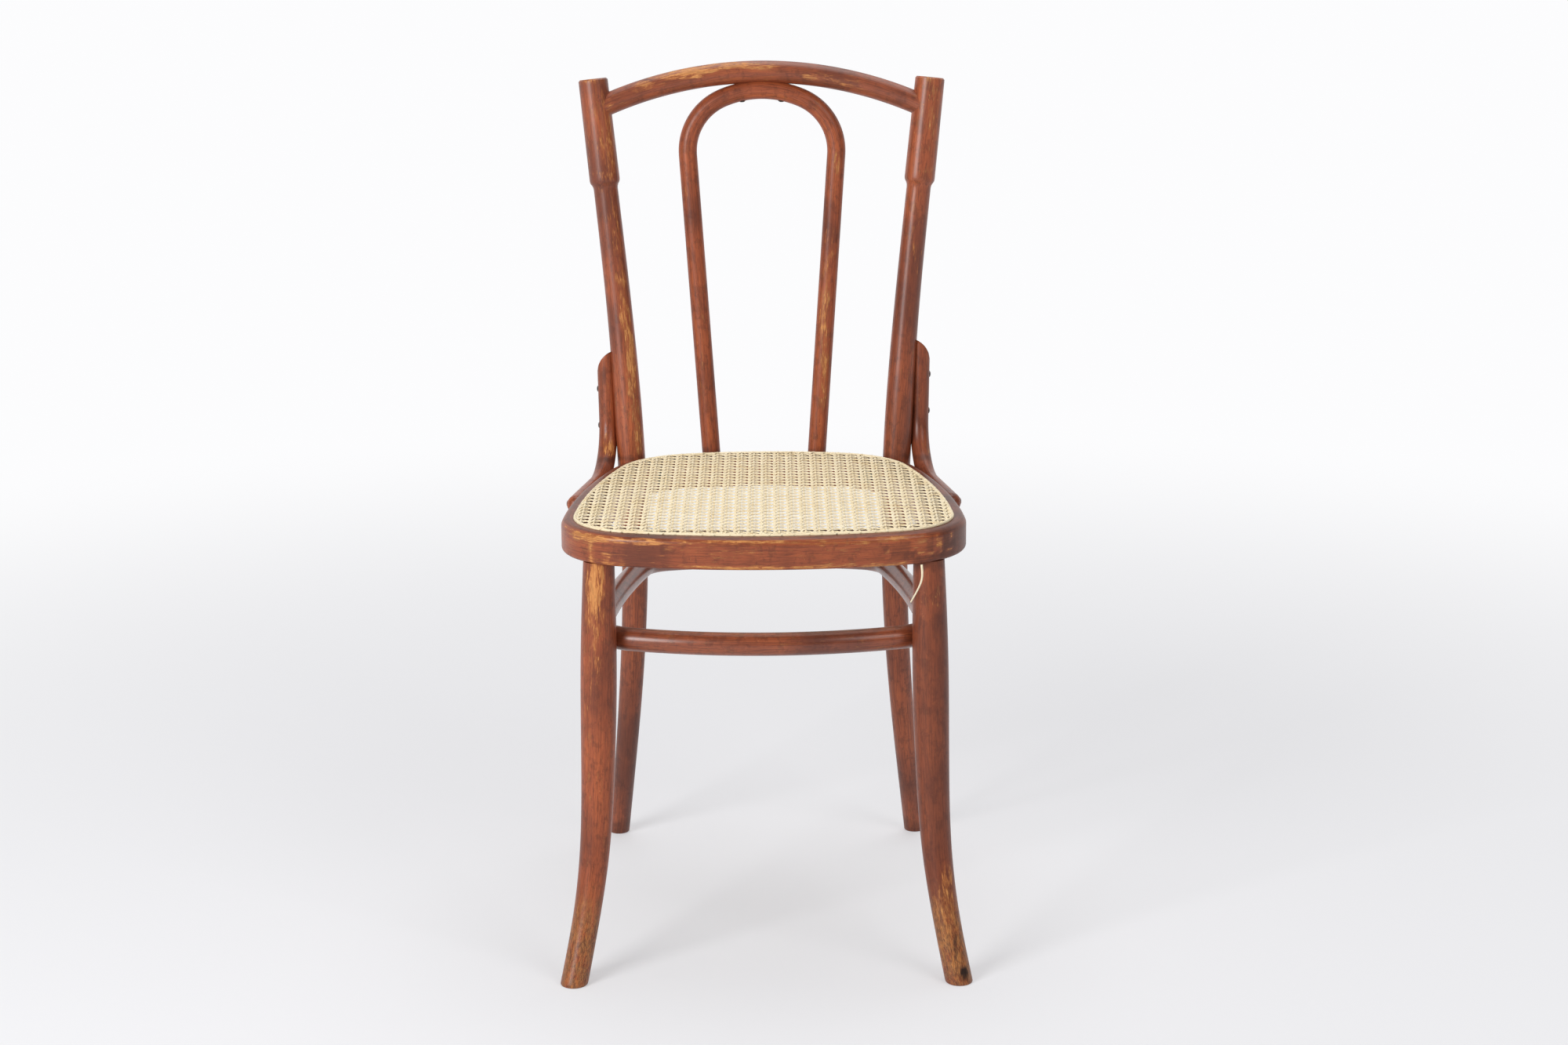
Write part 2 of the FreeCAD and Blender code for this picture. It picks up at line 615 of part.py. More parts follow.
def make_bracket_blank(side):
    """A bent bracket in its own plane: upper arm with the side's own tip, bend and lower arm."""
    body = make_body(f"bracket_blank_{side}")
    path = make_sketch(body, f"bracket_path_{side}", "YZ_Plane")
    lean = math.radians(number("bracket_lean"))
    bend = number("bracket_bend")
    rise = f"bracket_{side}_top_z - bracket_z"
    top = number(rise)
    reach = number("bracket_reach")
    forward = bend * (1 - math.sin(lean)) / math.cos(lean)
    centre = Vector(-forward, bend, 0)
    tip = Vector(top * math.tan(lean), top, 0)
    arm_end = centre + Vector(math.cos(lean), -math.sin(lean), 0) * bend
    path.addGeometry(Part.LineSegment(tip, arm_end), False)
    circle = Part.Circle(centre, Z_AXIS, bend)
    path.addGeometry(Part.ArcOfCircle(circle, -math.pi / 2, -lean), False)
    path.addGeometry(Part.LineSegment(Vector(-forward, 0, 0), Vector(-reach, 0, 0)), False)
    path.addConstraint(Sketcher.Constraint("Tangent", 0, END, 1, END))
    path.addConstraint(Sketcher.Constraint("Tangent", 1, START, 2, START))
    path.addConstraint(Sketcher.Constraint("PointOnObject", 2, END, ORIGIN))
    path.addConstraint(Sketcher.Constraint("Horizontal", 2))
    constrain(path, "Radius", (1,), "bracket_bend")
    constrain(path, "DistanceX", (2, END, ORIGIN, START), "bracket_reach")
    constrain(path, "DistanceY", (ORIGIN, START, 0, START), rise)
    constrain(path, "DistanceX", (ORIGIN, START, 0, START), f"({rise}) * tan(bracket_lean * 1 deg)")
    back = "bracket_bend * (1 - sin(bracket_lean * 1 deg)) / cos(bracket_lean * 1 deg)"
    constrain(path, "DistanceX", (1, CENTRE, ORIGIN, START), back)
    section = make_sketch(body, f"bracket_section_{side}")
    add_circle(section, "bracket_diameter")
    turn(section, -X_AXIS, "bracket_lean")
    shift(section, y=f"({rise}) * tan(bracket_lean * 1 deg)", z=rise)
    bar = pipe(body, section, path)
    doc.recompute()

    def at_lower_end(edge):
        return edge.BoundBox.YMax < 1 - reach and edge.BoundBox.YLength < 0.01

    round_edges(body, bar, at_lower_end, "bracket_end_round", f"bracket_end_{side}")
    tip_cut = make_sketch(body, f"bracket_tip_{side}", "XZ_Plane")
    half = "bracket_diameter / 2"
    rounding = f"bracket_{side}_tip"
    low = number(f"{rise} - {rounding}")
    radius = number(rounding)
    outer = number(half)
    centre = Vector(outer - radius, low, 0)
    corners = [Vector(outer, low, 0), Vector(outer + 2, low, 0), Vector(outer + 2, low + radius + 2, 0)]
    corners.append(Vector(outer - radius, low + radius + 2, 0))
    crest = Vector(outer - radius, low + radius, 0)
    for start, end in zip(corners, corners[1:] + [crest]):
        tip_cut.addGeometry(Part.LineSegment(start, end), False)
    tip_cut.addGeometry(Part.ArcOfCircle(Part.Circle(centre, Z_AXIS, radius), 0, math.pi / 2), False)
    for index in range(3):
        tip_cut.addConstraint(Sketcher.Constraint("Coincident", index, END, index + 1, START))
    tip_cut.addConstraint(Sketcher.Constraint("Coincident", 3, END, 4, END))
    tip_cut.addConstraint(Sketcher.Constraint("Coincident", 4, START, 0, START))
    for index, kind in enumerate(("Horizontal", "Vertical", "Horizontal", "Vertical")):
        tip_cut.addConstraint(Sketcher.Constraint(kind, index))
    tip_cut.addConstraint(Sketcher.Constraint("Horizontal", 4, CENTRE, 4, START))
    constrain(tip_cut, "Radius", (4,), rounding)
    constrain(tip_cut, "DistanceX", (ORIGIN, START, 0, START), half)
    constrain(tip_cut, "DistanceX", (0, START, 0, END), "2")
    constrain(tip_cut, "DistanceY", (0, END, 1, END), f"{rounding} + 2")
    constrain(tip_cut, "DistanceY", (ORIGIN, START, 0, START), f"{rise} - {rounding}")
    constrain(tip_cut, "DistanceX", (2, END, 1, END), f"{rounding} + 2")
    pocket = body.newObject("PartDesign::Pocket", f"bracket_tip_round_{side}")
    pocket.Profile = tip_cut
    pocket.Type = "ThroughAll"
    pocket.Midplane = True
    turned_out = "rotationz(bracket_heading) * rotationy(bracket_tilt)"
    bind(body, "Placement", f"placement(vector(bracket_x; bracket_y; bracket_z); {turned_out})")
    return body


# Fasteners: each profile is turned about its sketch's upright axis, head first

def fastener_profile(name, head_diameter, head_height, shank_diameter, length):
    """Half the outline of a domed head and its shank; the head's underside is at the origin."""
    sketch = doc.addObject("Sketcher::SketchObject", name)
    shank = f"{shank_diameter} / 2"
    corners = (
        (f"{head_diameter} / 2", "0"), (shank, "0"), (shank, f"{length} - {shank_diameter} / 2"),
        ("0", length), ("0", f"-{head_height}"),
    )
    places = [Vector(number(x), number(y), 0) for x, y in corners]
    for start, end in zip(places, places[1:]):
        sketch.addGeometry(Part.LineSegment(start, end), False)
    radius = number(f"(({head_diameter} / 2)^2 + {head_height}^2) / (2 * {head_height})")
    centre = places[-1] + Y_AXIS * radius
    rim_angle = math.atan2(places[0].y - centre.y, places[0].x - centre.x)
    dome = Part.ArcOfCircle(Part.Circle(centre, Z_AXIS, radius), -math.pi / 2, rim_angle)
    sketch.addGeometry(dome, False)
    for index in range(4):
        sketch.addConstraint(Sketcher.Constraint("Coincident", index, END, index + 1, START))
    sketch.addConstraint(Sketcher.Constraint("Coincident", 4, END, 0, START))
    sketch.addConstraint(Sketcher.Constraint("PointOnObject", 4, CENTRE, UPRIGHT_AXIS))
    for index, (x, y) in enumerate(corners):
        pin_point(sketch, index, START, x, y)
    sketch.Visibility = False
    return sketch


def turned(name, profile, seat, along):
    """One fastener, its head's underside at the seat and its shank along a direction."""
    made = doc.addObject("Part::Revolution", name)
    made.Source = profile
    made.Axis = Y_AXIS
    made.Angle = 360
    made.Solid = True
    made.Placement = Placement(seat, Rotation(Y_AXIS, along))
    return made


def flat_round(name, seat, along):
    """A washer, its near face at the seat, with the bolt's hole."""
    disc = doc.addObject("Part::Cylinder", f"{name}_disc")
    bind(disc, "Radius", "washer_diameter / 2")
    bind(disc, "Height", "washer_thickness")
    disc.Placement = Placement(seat, Rotation(Z_AXIS, along))
    return disc


def square_nut(name, seat, along):
    """A square nut, its near face at the seat."""
    block = doc.addObject("Part::Box", f"{name}_block")
    bind(block, "Length", "nut_width")
    bind(block, "Width", "nut_width")
    bind(block, "Height", "nut_thickness")
    rotation = Rotation(Z_AXIS, along)
    half = number("nut_width") / 2
    block.Placement = Placement(seat - rotation.multVec(Vector(half, half, 0)), rotation)
    return block


def both_sides(pieces):
    """The pieces and their mirror images."""
    return pieces + [mirror(piece, f"{piece.Name}_left") for piece in pieces]


def at_height(stations, piece, height):
    """The centre and the diameter of a leg or post at a height, between its stations."""
    rows = [(number(f"{piece}_{s[0]}_z"), s[0]) for s in stations]
    for (low, below), (high, above) in zip(rows, rows[1:]):
        if low <= height <= high:
            part = (height - low) / (high - low)
            mixed = [
                number(f"{piece}_{below}_{k}") * (1 - part) + number(f"{piece}_{above}_{k}") * part
                for k in "xyd"
            ]
            return Vector(mixed[0], mixed[1], height), mixed[2]
    raise ValueError(f"{piece} has no station round {height} mm")


def nearest_on_outline(shape, inset, place):
    """The point of an outline nearest to a place, and the outline's outward normal there."""
    best = None
    for centre, radius, start, end in outline_arcs(shape, inset):
        out = Vector(place.x, place.y, 0) - centre
        angle = math.atan2(out.y, out.x)
        while angle < start:
            angle += 2 * math.pi
        angle = angle if angle <= end else min((start, end), key=lambda limit: abs(limit - angle))
        normal = Vector(math.cos(angle), math.sin(angle), 0)
        point = centre + normal * radius
        gap = (Vector(place.x, place.y, 0) - point).Length
        if best is None or gap < best[0]:
            best = (gap, point, normal)
    return best[1] + Vector(0, 0, place.z), best[2]


def make_bracket_screws(profile):
    """The two screws of each bracket into its post, and the one into the seat ring."""
    placement = Placement(
        Vector(number("bracket_x"), number("bracket_y"), number("bracket_z")),
        Rotation(Z_AXIS, number("bracket_heading")) * Rotation(Y_AXIS, number("bracket_tilt")),
    )
    out = Vector(number("bracket_diameter / 2"), 0, 0)
    lean = math.tan(math.radians(number("bracket_lean")))
    into_post = []
    for side in ("right", "left"):
        for below_tip in (76, 36):
            up = number(f"bracket_{side}_top_z - bracket_z") - below_tip
            seat = placement.multVec(out + Vector(0, up * lean, up)) - X_AXIS * 1.2
            screw = turned(f"bracket_post_screw_{side}_{below_tip}", profile, seat, -X_AXIS)
            into_post.append(screw if side == "right" else mirror(screw, f"{screw.Name}_mirrored"))
    seat = placement.multVec(out + Vector(0, 12 - number("bracket_reach"), 0)) - X_AXIS * 1.2
    into_ring = turned("bracket_seat_screw", profile, seat, -X_AXIS)
    return into_post, both_sides([into_ring])


def make_loop_screws(profile):
    """The right screw from the loop's crown up into the rail, and the one from its foot into the ring."""
    lean = math.radians(number(loop_lean()))
    up = Vector(0, math.sin(lean), math.cos(lean))
    aside = 21.5
    drop = number("loop_top_radius") - math.sqrt(number("loop_top_radius") ** 2 - aside**2)
    down = number("rail_diameter / 2 + loop_diameter - loop_seating") + drop
    middle = Vector(aside, number("rail_y"), number("rail_height"))
    into_rail = turned("loop_rail_screw", profile, middle - up * (down - 1.4), up)
    height = number("seat_height - ring_height / 2")
    back = math.tan(lean) * (height - number("loop_foot_z")) + number("loop_foot_y + loop_diameter / 2")
    spread = number("loop_foot_x") + math.tan(math.radians(number("loop_splay"))) * (
        height - number("loop_foot_z"))
    into_ring = turned("loop_seat_screw", profile, Vector(spread, back - 1.2, height), -Y_AXIS)
    return both_sides([into_rail]), both_sides([into_ring])


def make_hoop_screws(profile):
    """The screws from inside the hoop into the right front leg and the right back leg."""
    made = []
    for piece, stations in (("leg", LEG_STATIONS), ("post", POST_STATIONS)):
        centre, diameter = at_height(stations, piece, number("hoop_height"))
        on_line, normal = nearest_on_outline("hoop", 0, centre)
        print(f"hoop to {piece}: {(centre - on_line).Length:.1f} mm between centre lines,",
              f"{diameter / 2 + number('hoop_diameter / 2'):.1f} mm would only touch")
        seat = on_line - normal * (number("hoop_diameter / 2") - 1.2)
        made.append(turned(f"hoop_{piece}_screw", profile, seat, normal))
    return both_sides(made)


def make_seat_bolts():
    """The right bolt through post and ring, with its washer and nut on the ring's inner face."""
    height = number("seat_height - ring_height / 2")
    centre, diameter = at_height(POST_STATIONS, "post", height)
    on_ring, normal = nearest_on_outline("seat", 0, centre)
    print(f"ring to post: {(centre - on_ring).Length:.1f} mm, radius {diameter / 2:.1f} mm")
    head = on_ring + normal * ((centre - on_ring).Length + diameter / 2 - 0.6)
    inner_face = on_ring - normal * number("ring_width")
    length = (head - inner_face).Length + number("washer_thickness + nut_thickness") + 3
    profile = fastener_profile(
        "bolt_profile", "bolt_head_diameter", "bolt_head_height", "bolt_diameter", f"{length:.2f}",
    )
    bolt = turned("seat_bolt", profile, head, -normal)
    washer = flat_round("seat_washer", inner_face, -normal)
    nut = square_nut("seat_nut", inner_face - normal * number("washer_thickness"), -normal)
    return both_sides([bolt]), both_sides([washer]), both_sides([nut])


# Cane

def outline_wire(shape, inset, height):
    """An outline as a closed wire at a height."""
    edges = []
    for centre, radius, start, end in outline_arcs(shape, inset):
        circle = Part.Circle(centre + Vector(0, 0, height), Z_AXIS, radius)
        edges.append(Part.ArcOfCircle(circle, start, end).toShape())
    return Part.Wire(edges)


def gap_wire(x, y, width, height):
    """An eight-sided gap of the weave, with its flats along and across."""
    flat = width / 2
    corner = flat * math.tan(math.pi / 8)
    corners = [
        (flat, -corner), (flat, corner), (corner, flat), (-corner, flat),
        (-flat, corner), (-flat, -corner), (-corner, -flat), (corner, -flat),
    ]
    places = [Vector(x + dx, y + dy, height) for dx, dy in corners]
    return Part.makePolygon(places + places[:1])


def make_cane_panel():
    """The woven seat as one holed face with the weave's thickness: a square grid of eight-sided gaps."""
    height = number("seat_height")
    pitch = number("cane_pitch")
    clear = Part.Face(outline_wire("seat", number("cane_clear_inset"), height))
    wires = [outline_wire("seat", number("cane_inset"), height)]
    reach = int(number("seat_front") // pitch) + 1
    for column in range(-reach, reach + 1):
        for row in range(-reach, reach + 1):
            centre = Vector(column * pitch, (row + 0.5) * pitch, height)
            if clear.isInside(centre, 0.01, True):
                wires.append(gap_wire(centre.x, centre.y, number("cane_gap"), height))
    print("gaps in the cane panel:", len(wires) - 1)
    panel = doc.addObject("Part::Feature", "cane_panel")
    holes = [Part.Wire(wire) for wire in wires[1:]]
    face = Part.Face([wires[0]] + holes)
    face.validate()
    panel.Shape = face.extrude(Vector(0, 0, number("cane_thickness")))
    return panel


def make_cane_binding():
    """The strip of cane laid over the row of holes."""
    body = make_body("cane_binding")
    sketch = make_sketch(body, "binding_plan")
    shift(sketch, z="seat_height + cane_thickness")
    add_outline(sketch, "seat", "binding_inset")
    add_outline(sketch, "seat", "binding_inset + binding_width")
    pad(body, sketch, "binding_thickness")
    return body


def make_loose_strand():
    """The cane end that hangs from the ring's underside at the right front."""
    top = Vector(155.3, -203, number("seat_height - ring_height"))
    drop = number("strand_drop")
    middle = top + Vector(-1.3, -1.5, -0.5 * drop)
    tip = top + Vector(-10.8, -3, -drop)
    arc = Part.Arc(top, middle, tip).toShape()
    path = Part.Wire([arc])
    along = arc.tangentAt(arc.FirstParameter)
    width = number("strand_width") / 2
    thick = number("strand_thickness") / 2
    across = along.cross(Y_AXIS).normalize()
    deep = along.cross(across).normalize()
    corners = [
        top + across * width + deep * thick, top - across * width + deep * thick,
        top - across * width - deep * thick, top + across * width - deep * thick,
    ]
    section = Part.makePolygon(corners + corners[:1])
    strand = doc.addObject("Part::Feature", "loose_cane_end")
    strand.Shape = path.makePipeShell([section], True, False)
    return strand


# The chair

def make_chair():
    """Every node of the chair, fitted to its neighbours."""
    ring = make_ring_blank()
    leg = make_leg_blank()
    post = make_post_blank()
    rail = make_rail_blank()
    loop = make_loop_blank()
    hoop = make_hoop_blank()
    bracket = make_bracket_blank("right")
    left_bracket_pattern = make_bracket_blank("left")
    doc.recompute()
    left_leg = mirror(leg, "leg_blank_left")
    left_post = mirror(post, "post_blank_left")
    left_bracket = mirror(left_bracket_pattern, "bracket_blank_mirrored")
    tenon = make_rail_tenon()
    tenons = both_sides([tenon])

    sizes = ("screw_head_diameter", "screw_head_height", "screw_shank_diameter")
    long_screw = fastener_profile("long_screw_profile", *sizes, "30")
    post_screws, ring_screws = make_bracket_screws(long_screw)
    rail_screws, foot_screws = make_loop_screws(long_screw)
    hoop_screws = make_hoop_screws(long_screw)
    bolts, washers, nuts = make_seat_bolts()

    nodes = []

    def bench(name, blank, neighbours):
        made = fitted(name, blank, neighbours)
        nodes.append(made)
        return made

    bench("seat_ring", ring, [leg, left_leg] + bolts + ring_screws + foot_screws)
    shouldered = fitted("rail_with_shoulders", rail, [post, left_post])
    whole_rail = doc.addObject("Part::MultiFuse", "rail_with_tenons")
    whole_rail.Shapes = [shouldered] + tenons
    bench("top_rail", whole_rail, rail_screws)
    bench("back_loop", loop, [ring, rail] + rail_screws + foot_screws)
    bench("leg_hoop", hoop, hoop_screws)
    for side, this_leg, this_post, this_bracket in (
        ("right", leg, post, bracket), ("left", left_leg, left_post, left_bracket),
    ):
        bench(f"front_leg_{side}", this_leg, [hoop] + hoop_screws)
        bench(f"back_post_{side}", this_post, [ring, hoop] + tenons + bolts + post_screws + hoop_screws)
        bench(f"side_bracket_{side}", this_bracket, [this_post, ring] + post_screws + ring_screws)
    for name, pieces in (
        ("bracket_post_screws", post_screws), ("bracket_seat_screws", ring_screws),
        ("loop_rail_screws", rail_screws), ("loop_seat_screws", foot_screws),
        ("hoop_leg_screws", hoop_screws), ("seat_bolts", bolts),
    ):
        nodes.append(group(name, pieces))
    nodes.append(fitted("seat_bolt_washers", group("washer_discs", washers), bolts))
    nodes.append(fitted("seat_bolt_nuts", group("nut_blocks", nuts), bolts))
    nodes.append(make_cane_panel())
    nodes.append(make_cane_binding())
    nodes.append(make_loose_strand())
    doc.recompute()
    return nodes


def check(nodes):
    """Stops on any object that failed, and on any node without a sound solid."""
    failed = [thing.Name for thing in doc.Objects if {"Invalid", "Error"} & set(thing.State)]
    if failed:
        raise RuntimeError(f"these failed: {failed}")
    for node in nodes:
        shape = node.Shape
        if shape.isNull() or not shape.isValid() or not shape.Solids:
            raise RuntimeError(f"{node.Name} has no sound shape")
    whole = Part.makeCompound([node.Shape for node in nodes]).BoundBox
    print(f"x {whole.XMin:.1f} {whole.XMax:.1f}  y {whole.YMin:.1f} {whole.YMax:.1f}",
          f"z {whole.ZMin:.1f} {whole.ZMax:.1f}")


def export(nodes):
    """Writes one file for each node."""
    os.makedirs("parts", exist_ok=True)
    for node in nodes:
        node.Label = node.Name
        node.Shape.exportStep(f"parts/{node.Name}.step")
        print(f"{node.Name}: {len(node.Shape.Solids)} solids, {len(node.Shape.Faces)} faces")


chair = make_chair()
check(chair)
export(chair)
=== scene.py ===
"""Looks of the bentwood cafe chair.

Every bar is swept along its own bend and carries the grain of the straight stick that it was bent from,
the seat is woven in six ways over the ring, and the stain is rubbed through where hands, clothes and
brooms have met it. Sizes are in millimetres, in the chair's own frame, and become metres in the meshes.
"""

from __future__ import annotations

import json
import logging
import math
from collections.abc import Callable, Sequence
from dataclasses import dataclass, field
from enum import Enum
from typing import Any

import bmesh
import bpy
from mathutils import Matrix, Quaternion, Vector

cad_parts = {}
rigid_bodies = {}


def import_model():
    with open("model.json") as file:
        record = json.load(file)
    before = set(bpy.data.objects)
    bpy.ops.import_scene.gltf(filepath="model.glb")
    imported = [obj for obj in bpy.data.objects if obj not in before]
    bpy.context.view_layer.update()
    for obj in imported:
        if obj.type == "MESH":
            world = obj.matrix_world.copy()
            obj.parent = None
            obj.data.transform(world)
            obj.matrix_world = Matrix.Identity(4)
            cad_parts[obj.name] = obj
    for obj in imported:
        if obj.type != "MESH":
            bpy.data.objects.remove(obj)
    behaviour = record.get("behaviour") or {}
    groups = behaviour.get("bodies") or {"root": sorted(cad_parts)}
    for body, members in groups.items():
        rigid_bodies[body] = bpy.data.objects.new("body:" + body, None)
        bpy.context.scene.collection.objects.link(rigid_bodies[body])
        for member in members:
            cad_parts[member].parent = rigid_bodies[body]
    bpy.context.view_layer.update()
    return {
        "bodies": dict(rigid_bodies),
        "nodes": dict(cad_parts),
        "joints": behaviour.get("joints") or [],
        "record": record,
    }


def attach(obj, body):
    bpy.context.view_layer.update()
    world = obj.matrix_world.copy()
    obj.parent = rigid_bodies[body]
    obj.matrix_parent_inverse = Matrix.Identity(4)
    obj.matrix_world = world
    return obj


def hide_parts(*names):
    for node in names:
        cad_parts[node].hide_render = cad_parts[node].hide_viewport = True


LOG = logging.getLogger("chair")
MM = 0.001
BODY = "root"
ACROSS = Vector((1.0, 0.0, 0.0))
DEEP = Vector((0.0, 1.0, 0.0))
UP = Vector((0.0, 0.0, 1.0))
# About how far apart the rings of a bar stand
RING_SPACING = 4.0
GRAIN_ATTRIBUTE = "stick"
# Rubbing above 0, and painted shade and grime below 0
WEAR_AND_SHADE_ATTRIBUTE = "wear"
STRAND_ATTRIBUTE = "strand"

Colour = tuple[float, float, float]
Outline = list[tuple[float, float]]
Track = Callable[[float], float]
# A leg's height, its place across and back there, and its width
Station = tuple[float, float, float, float]
# A place in millimetres and an Euler turn in radians
Placing = tuple[Vector, tuple[float, float, float]]
# What a node's input takes: a number, a vector, a colour, a data block, a socket or a Signal
Input = Any


# Meshes and objects


def mesh_data(name: str, mesh: bmesh.types.BMesh) -> bpy.types.Mesh:
    """A plain mesh from an edit mesh, which is freed."""
    data = bpy.data.meshes.new(name)
    mesh.to_mesh(data)
    mesh.free()
    return data


def linked(name: str, data: bpy.types.ID) -> bpy.types.Object:
    """A new object at the origin, linked to the scene."""
    made = bpy.data.objects.new(name, data)
    bpy.context.scene.collection.objects.link(made)
    return made


def mark_points(data: bpy.types.Mesh, name: str, values: Sequence[float]) -> None:
    """Writes a number for every point of a mesh."""
    layer = data.attributes.new(name, "FLOAT", "POINT")
    layer.data.foreach_set("value", values)


# Shader and geometry maths


class Bench:
    """A node tree with short ways to add nodes and to write maths on their sockets."""

    def __init__(self, tree: bpy.types.NodeTree) -> None:
        """Keeps the tree that the nodes are added to."""
        self.tree = tree

    def node(self, kind: str, settings: dict[str, Any] | None = None, **inputs: Input) -> bpy.types.Node:
        """Adds a node.

        Args:
            kind: The node's type name.
            settings: Properties that are set before the sockets, such as an operation.
            inputs: Values or links by socket name, with underscores for spaces, or by place, as in in0.

        Returns:
            The new node.
        """
        made = self.tree.nodes.new(kind)
        for name, value in (settings or {}).items():
            setattr(made, name, value)
        for name, value in inputs.items():
            self.feed(made, name, value)
        return made

    def feed(self, node: bpy.types.Node, name: str, value: Input) -> None:
        """Sets or links one socket of a node, named as in node()."""
        if name.startswith("in") and name[2:].isdigit():
            socket = node.inputs[int(name[2:])]
        else:
            socket = node.inputs[name.replace("_", " ")]
        if isinstance(value, Signal):
            value = value.socket
        if isinstance(value, bpy.types.NodeSocket):
            self.tree.links.new(value, socket)
        else:
            socket.default_value = value

    def signal(self, node: bpy.types.Node, output: str | int = 0) -> Signal:
        """An output of a node, ready for maths."""
        return Signal(self, node.outputs[output])

    def maths(self, operation: str, *operands: Input, kind: str = "ShaderNodeMath") -> Signal:
        """One Math node, or one of another kind, on numbers or signals; its first output."""
        made = self.node(kind, {"operation": operation})
        for place, operand in enumerate(operands):
            self.feed(made, f"in{place}", operand)
        return self.signal(made)

    def vector_maths(self, operation: str, *operands: Input) -> Signal:
        """One Vector Math node; its vector output."""
        return self.maths(operation, *operands, kind="ShaderNodeVectorMath")


class Signal:
    """A number on a socket, on which Python's operators add Math nodes."""

    def __init__(self, bench: Bench, socket: bpy.types.NodeSocket) -> None:
        """Wraps a socket of the bench's tree."""
        self.bench = bench
        self.socket = socket

    def __add__(self, other: Input) -> Signal:
        """self + other."""
        return self.bench.maths("ADD", self, other)

    def __radd__(self, other: Input) -> Signal:
        """other + self."""
        return self.bench.maths("ADD", other, self)

    def __sub__(self, other: Input) -> Signal:
        """self - other."""
        return self.bench.maths("SUBTRACT", self, other)

    def __rsub__(self, other: Input) -> Signal:
        """other - self."""
        return self.bench.maths("SUBTRACT", other, self)

    def __mul__(self, other: Input) -> Signal:
        """self * other."""
        return self.bench.maths("MULTIPLY", self, other)

    def __rmul__(self, other: Input) -> Signal:
        """other * self."""
        return self.bench.maths("MULTIPLY", other, self)

    def __truediv__(self, other: Input) -> Signal:
        """self / other."""
        return self.bench.maths("DIVIDE", self, other)

    def __rtruediv__(self, other: Input) -> Signal:
        """other / self."""
        return self.bench.maths("DIVIDE", other, self)

    def clamped(self) -> Signal:
        """The number held between 0 and 1."""
        return self.bench.maths("MINIMUM", self.bench.maths("MAXIMUM", self, 0.0), 1.0)

    def ramp(self, low: Input, high: Input) -> Signal:
        """A smooth step: 0 at low and 1 at high."""
        made = self.bench.node("ShaderNodeMapRange", {"interpolation_type": "SMOOTHSTEP"})
        for name, value in (("Value", self), ("From Min", low), ("From Max", high)):
            self.bench.feed(made, name, value)
        return self.bench.signal(made)


class Paint(Bench):
    """A material's node tree, with noise, colours and bump."""

    def __init__(self, name: str) -> None:
        """Makes an empty material."""
        self.material = bpy.data.materials.new(name)
        self.material.use_nodes = True
        super().__init__(self.material.node_tree)
        self.tree.nodes.clear()

    def place(self) -> Signal:
        """Object coordinates."""
        return self.signal(self.node("ShaderNodeTexCoord"), "Object")

    def attribute(self, name: str, output: str) -> Signal:
        """An output of a mesh attribute."""
        return self.signal(self.node("ShaderNodeAttribute", {"attribute_name": name}), output)

    def scaled(self, vector: Signal, scale: tuple[float, float, float], shift: float = 0.0) -> Signal:
        """A vector stretched along its axes, and shifted so that two patterns differ."""
        stretched = self.vector_maths("MULTIPLY", vector, scale)
        return self.vector_maths("ADD", stretched, (shift, shift * 0.7, shift * 1.3))

    def noise(self, vector: Signal, detail: float, rough: float) -> Signal:
        """Fractal noise at the vector's own scale, from 0 to 1."""
        made = self.node("ShaderNodeTexNoise", Vector=vector, Scale=1.0, Detail=detail, Roughness=rough)
        return self.signal(made, "Fac")

    def mix(self, factor: Input, first: Input, second: Input) -> Signal:
        """Mixes two colours."""
        made = self.node("ShaderNodeMix", {"data_type": "RGBA"})
        for place, value in ((0, factor), (6, first), (7, second)):
            if isinstance(value, tuple) and len(value) == 3:
                value = (*value, 1.0)
            self.feed(made, f"in{place}", value)
        return self.signal(made, 2)

    def bump(self, height: Signal, distance: float, strength: float) -> Signal:
        """A normal from a height; the distance is in metres."""
        made = self.node("ShaderNodeBump", Height=height, Distance=distance, Strength=strength)
        return self.signal(made)

    def finish(self, shader: bpy.types.Node) -> bpy.types.Material:
        """Joins the shader to the output and returns the material."""
        self.node("ShaderNodeOutputMaterial", in0=shader.outputs[0])
        return self.material


# Finishes


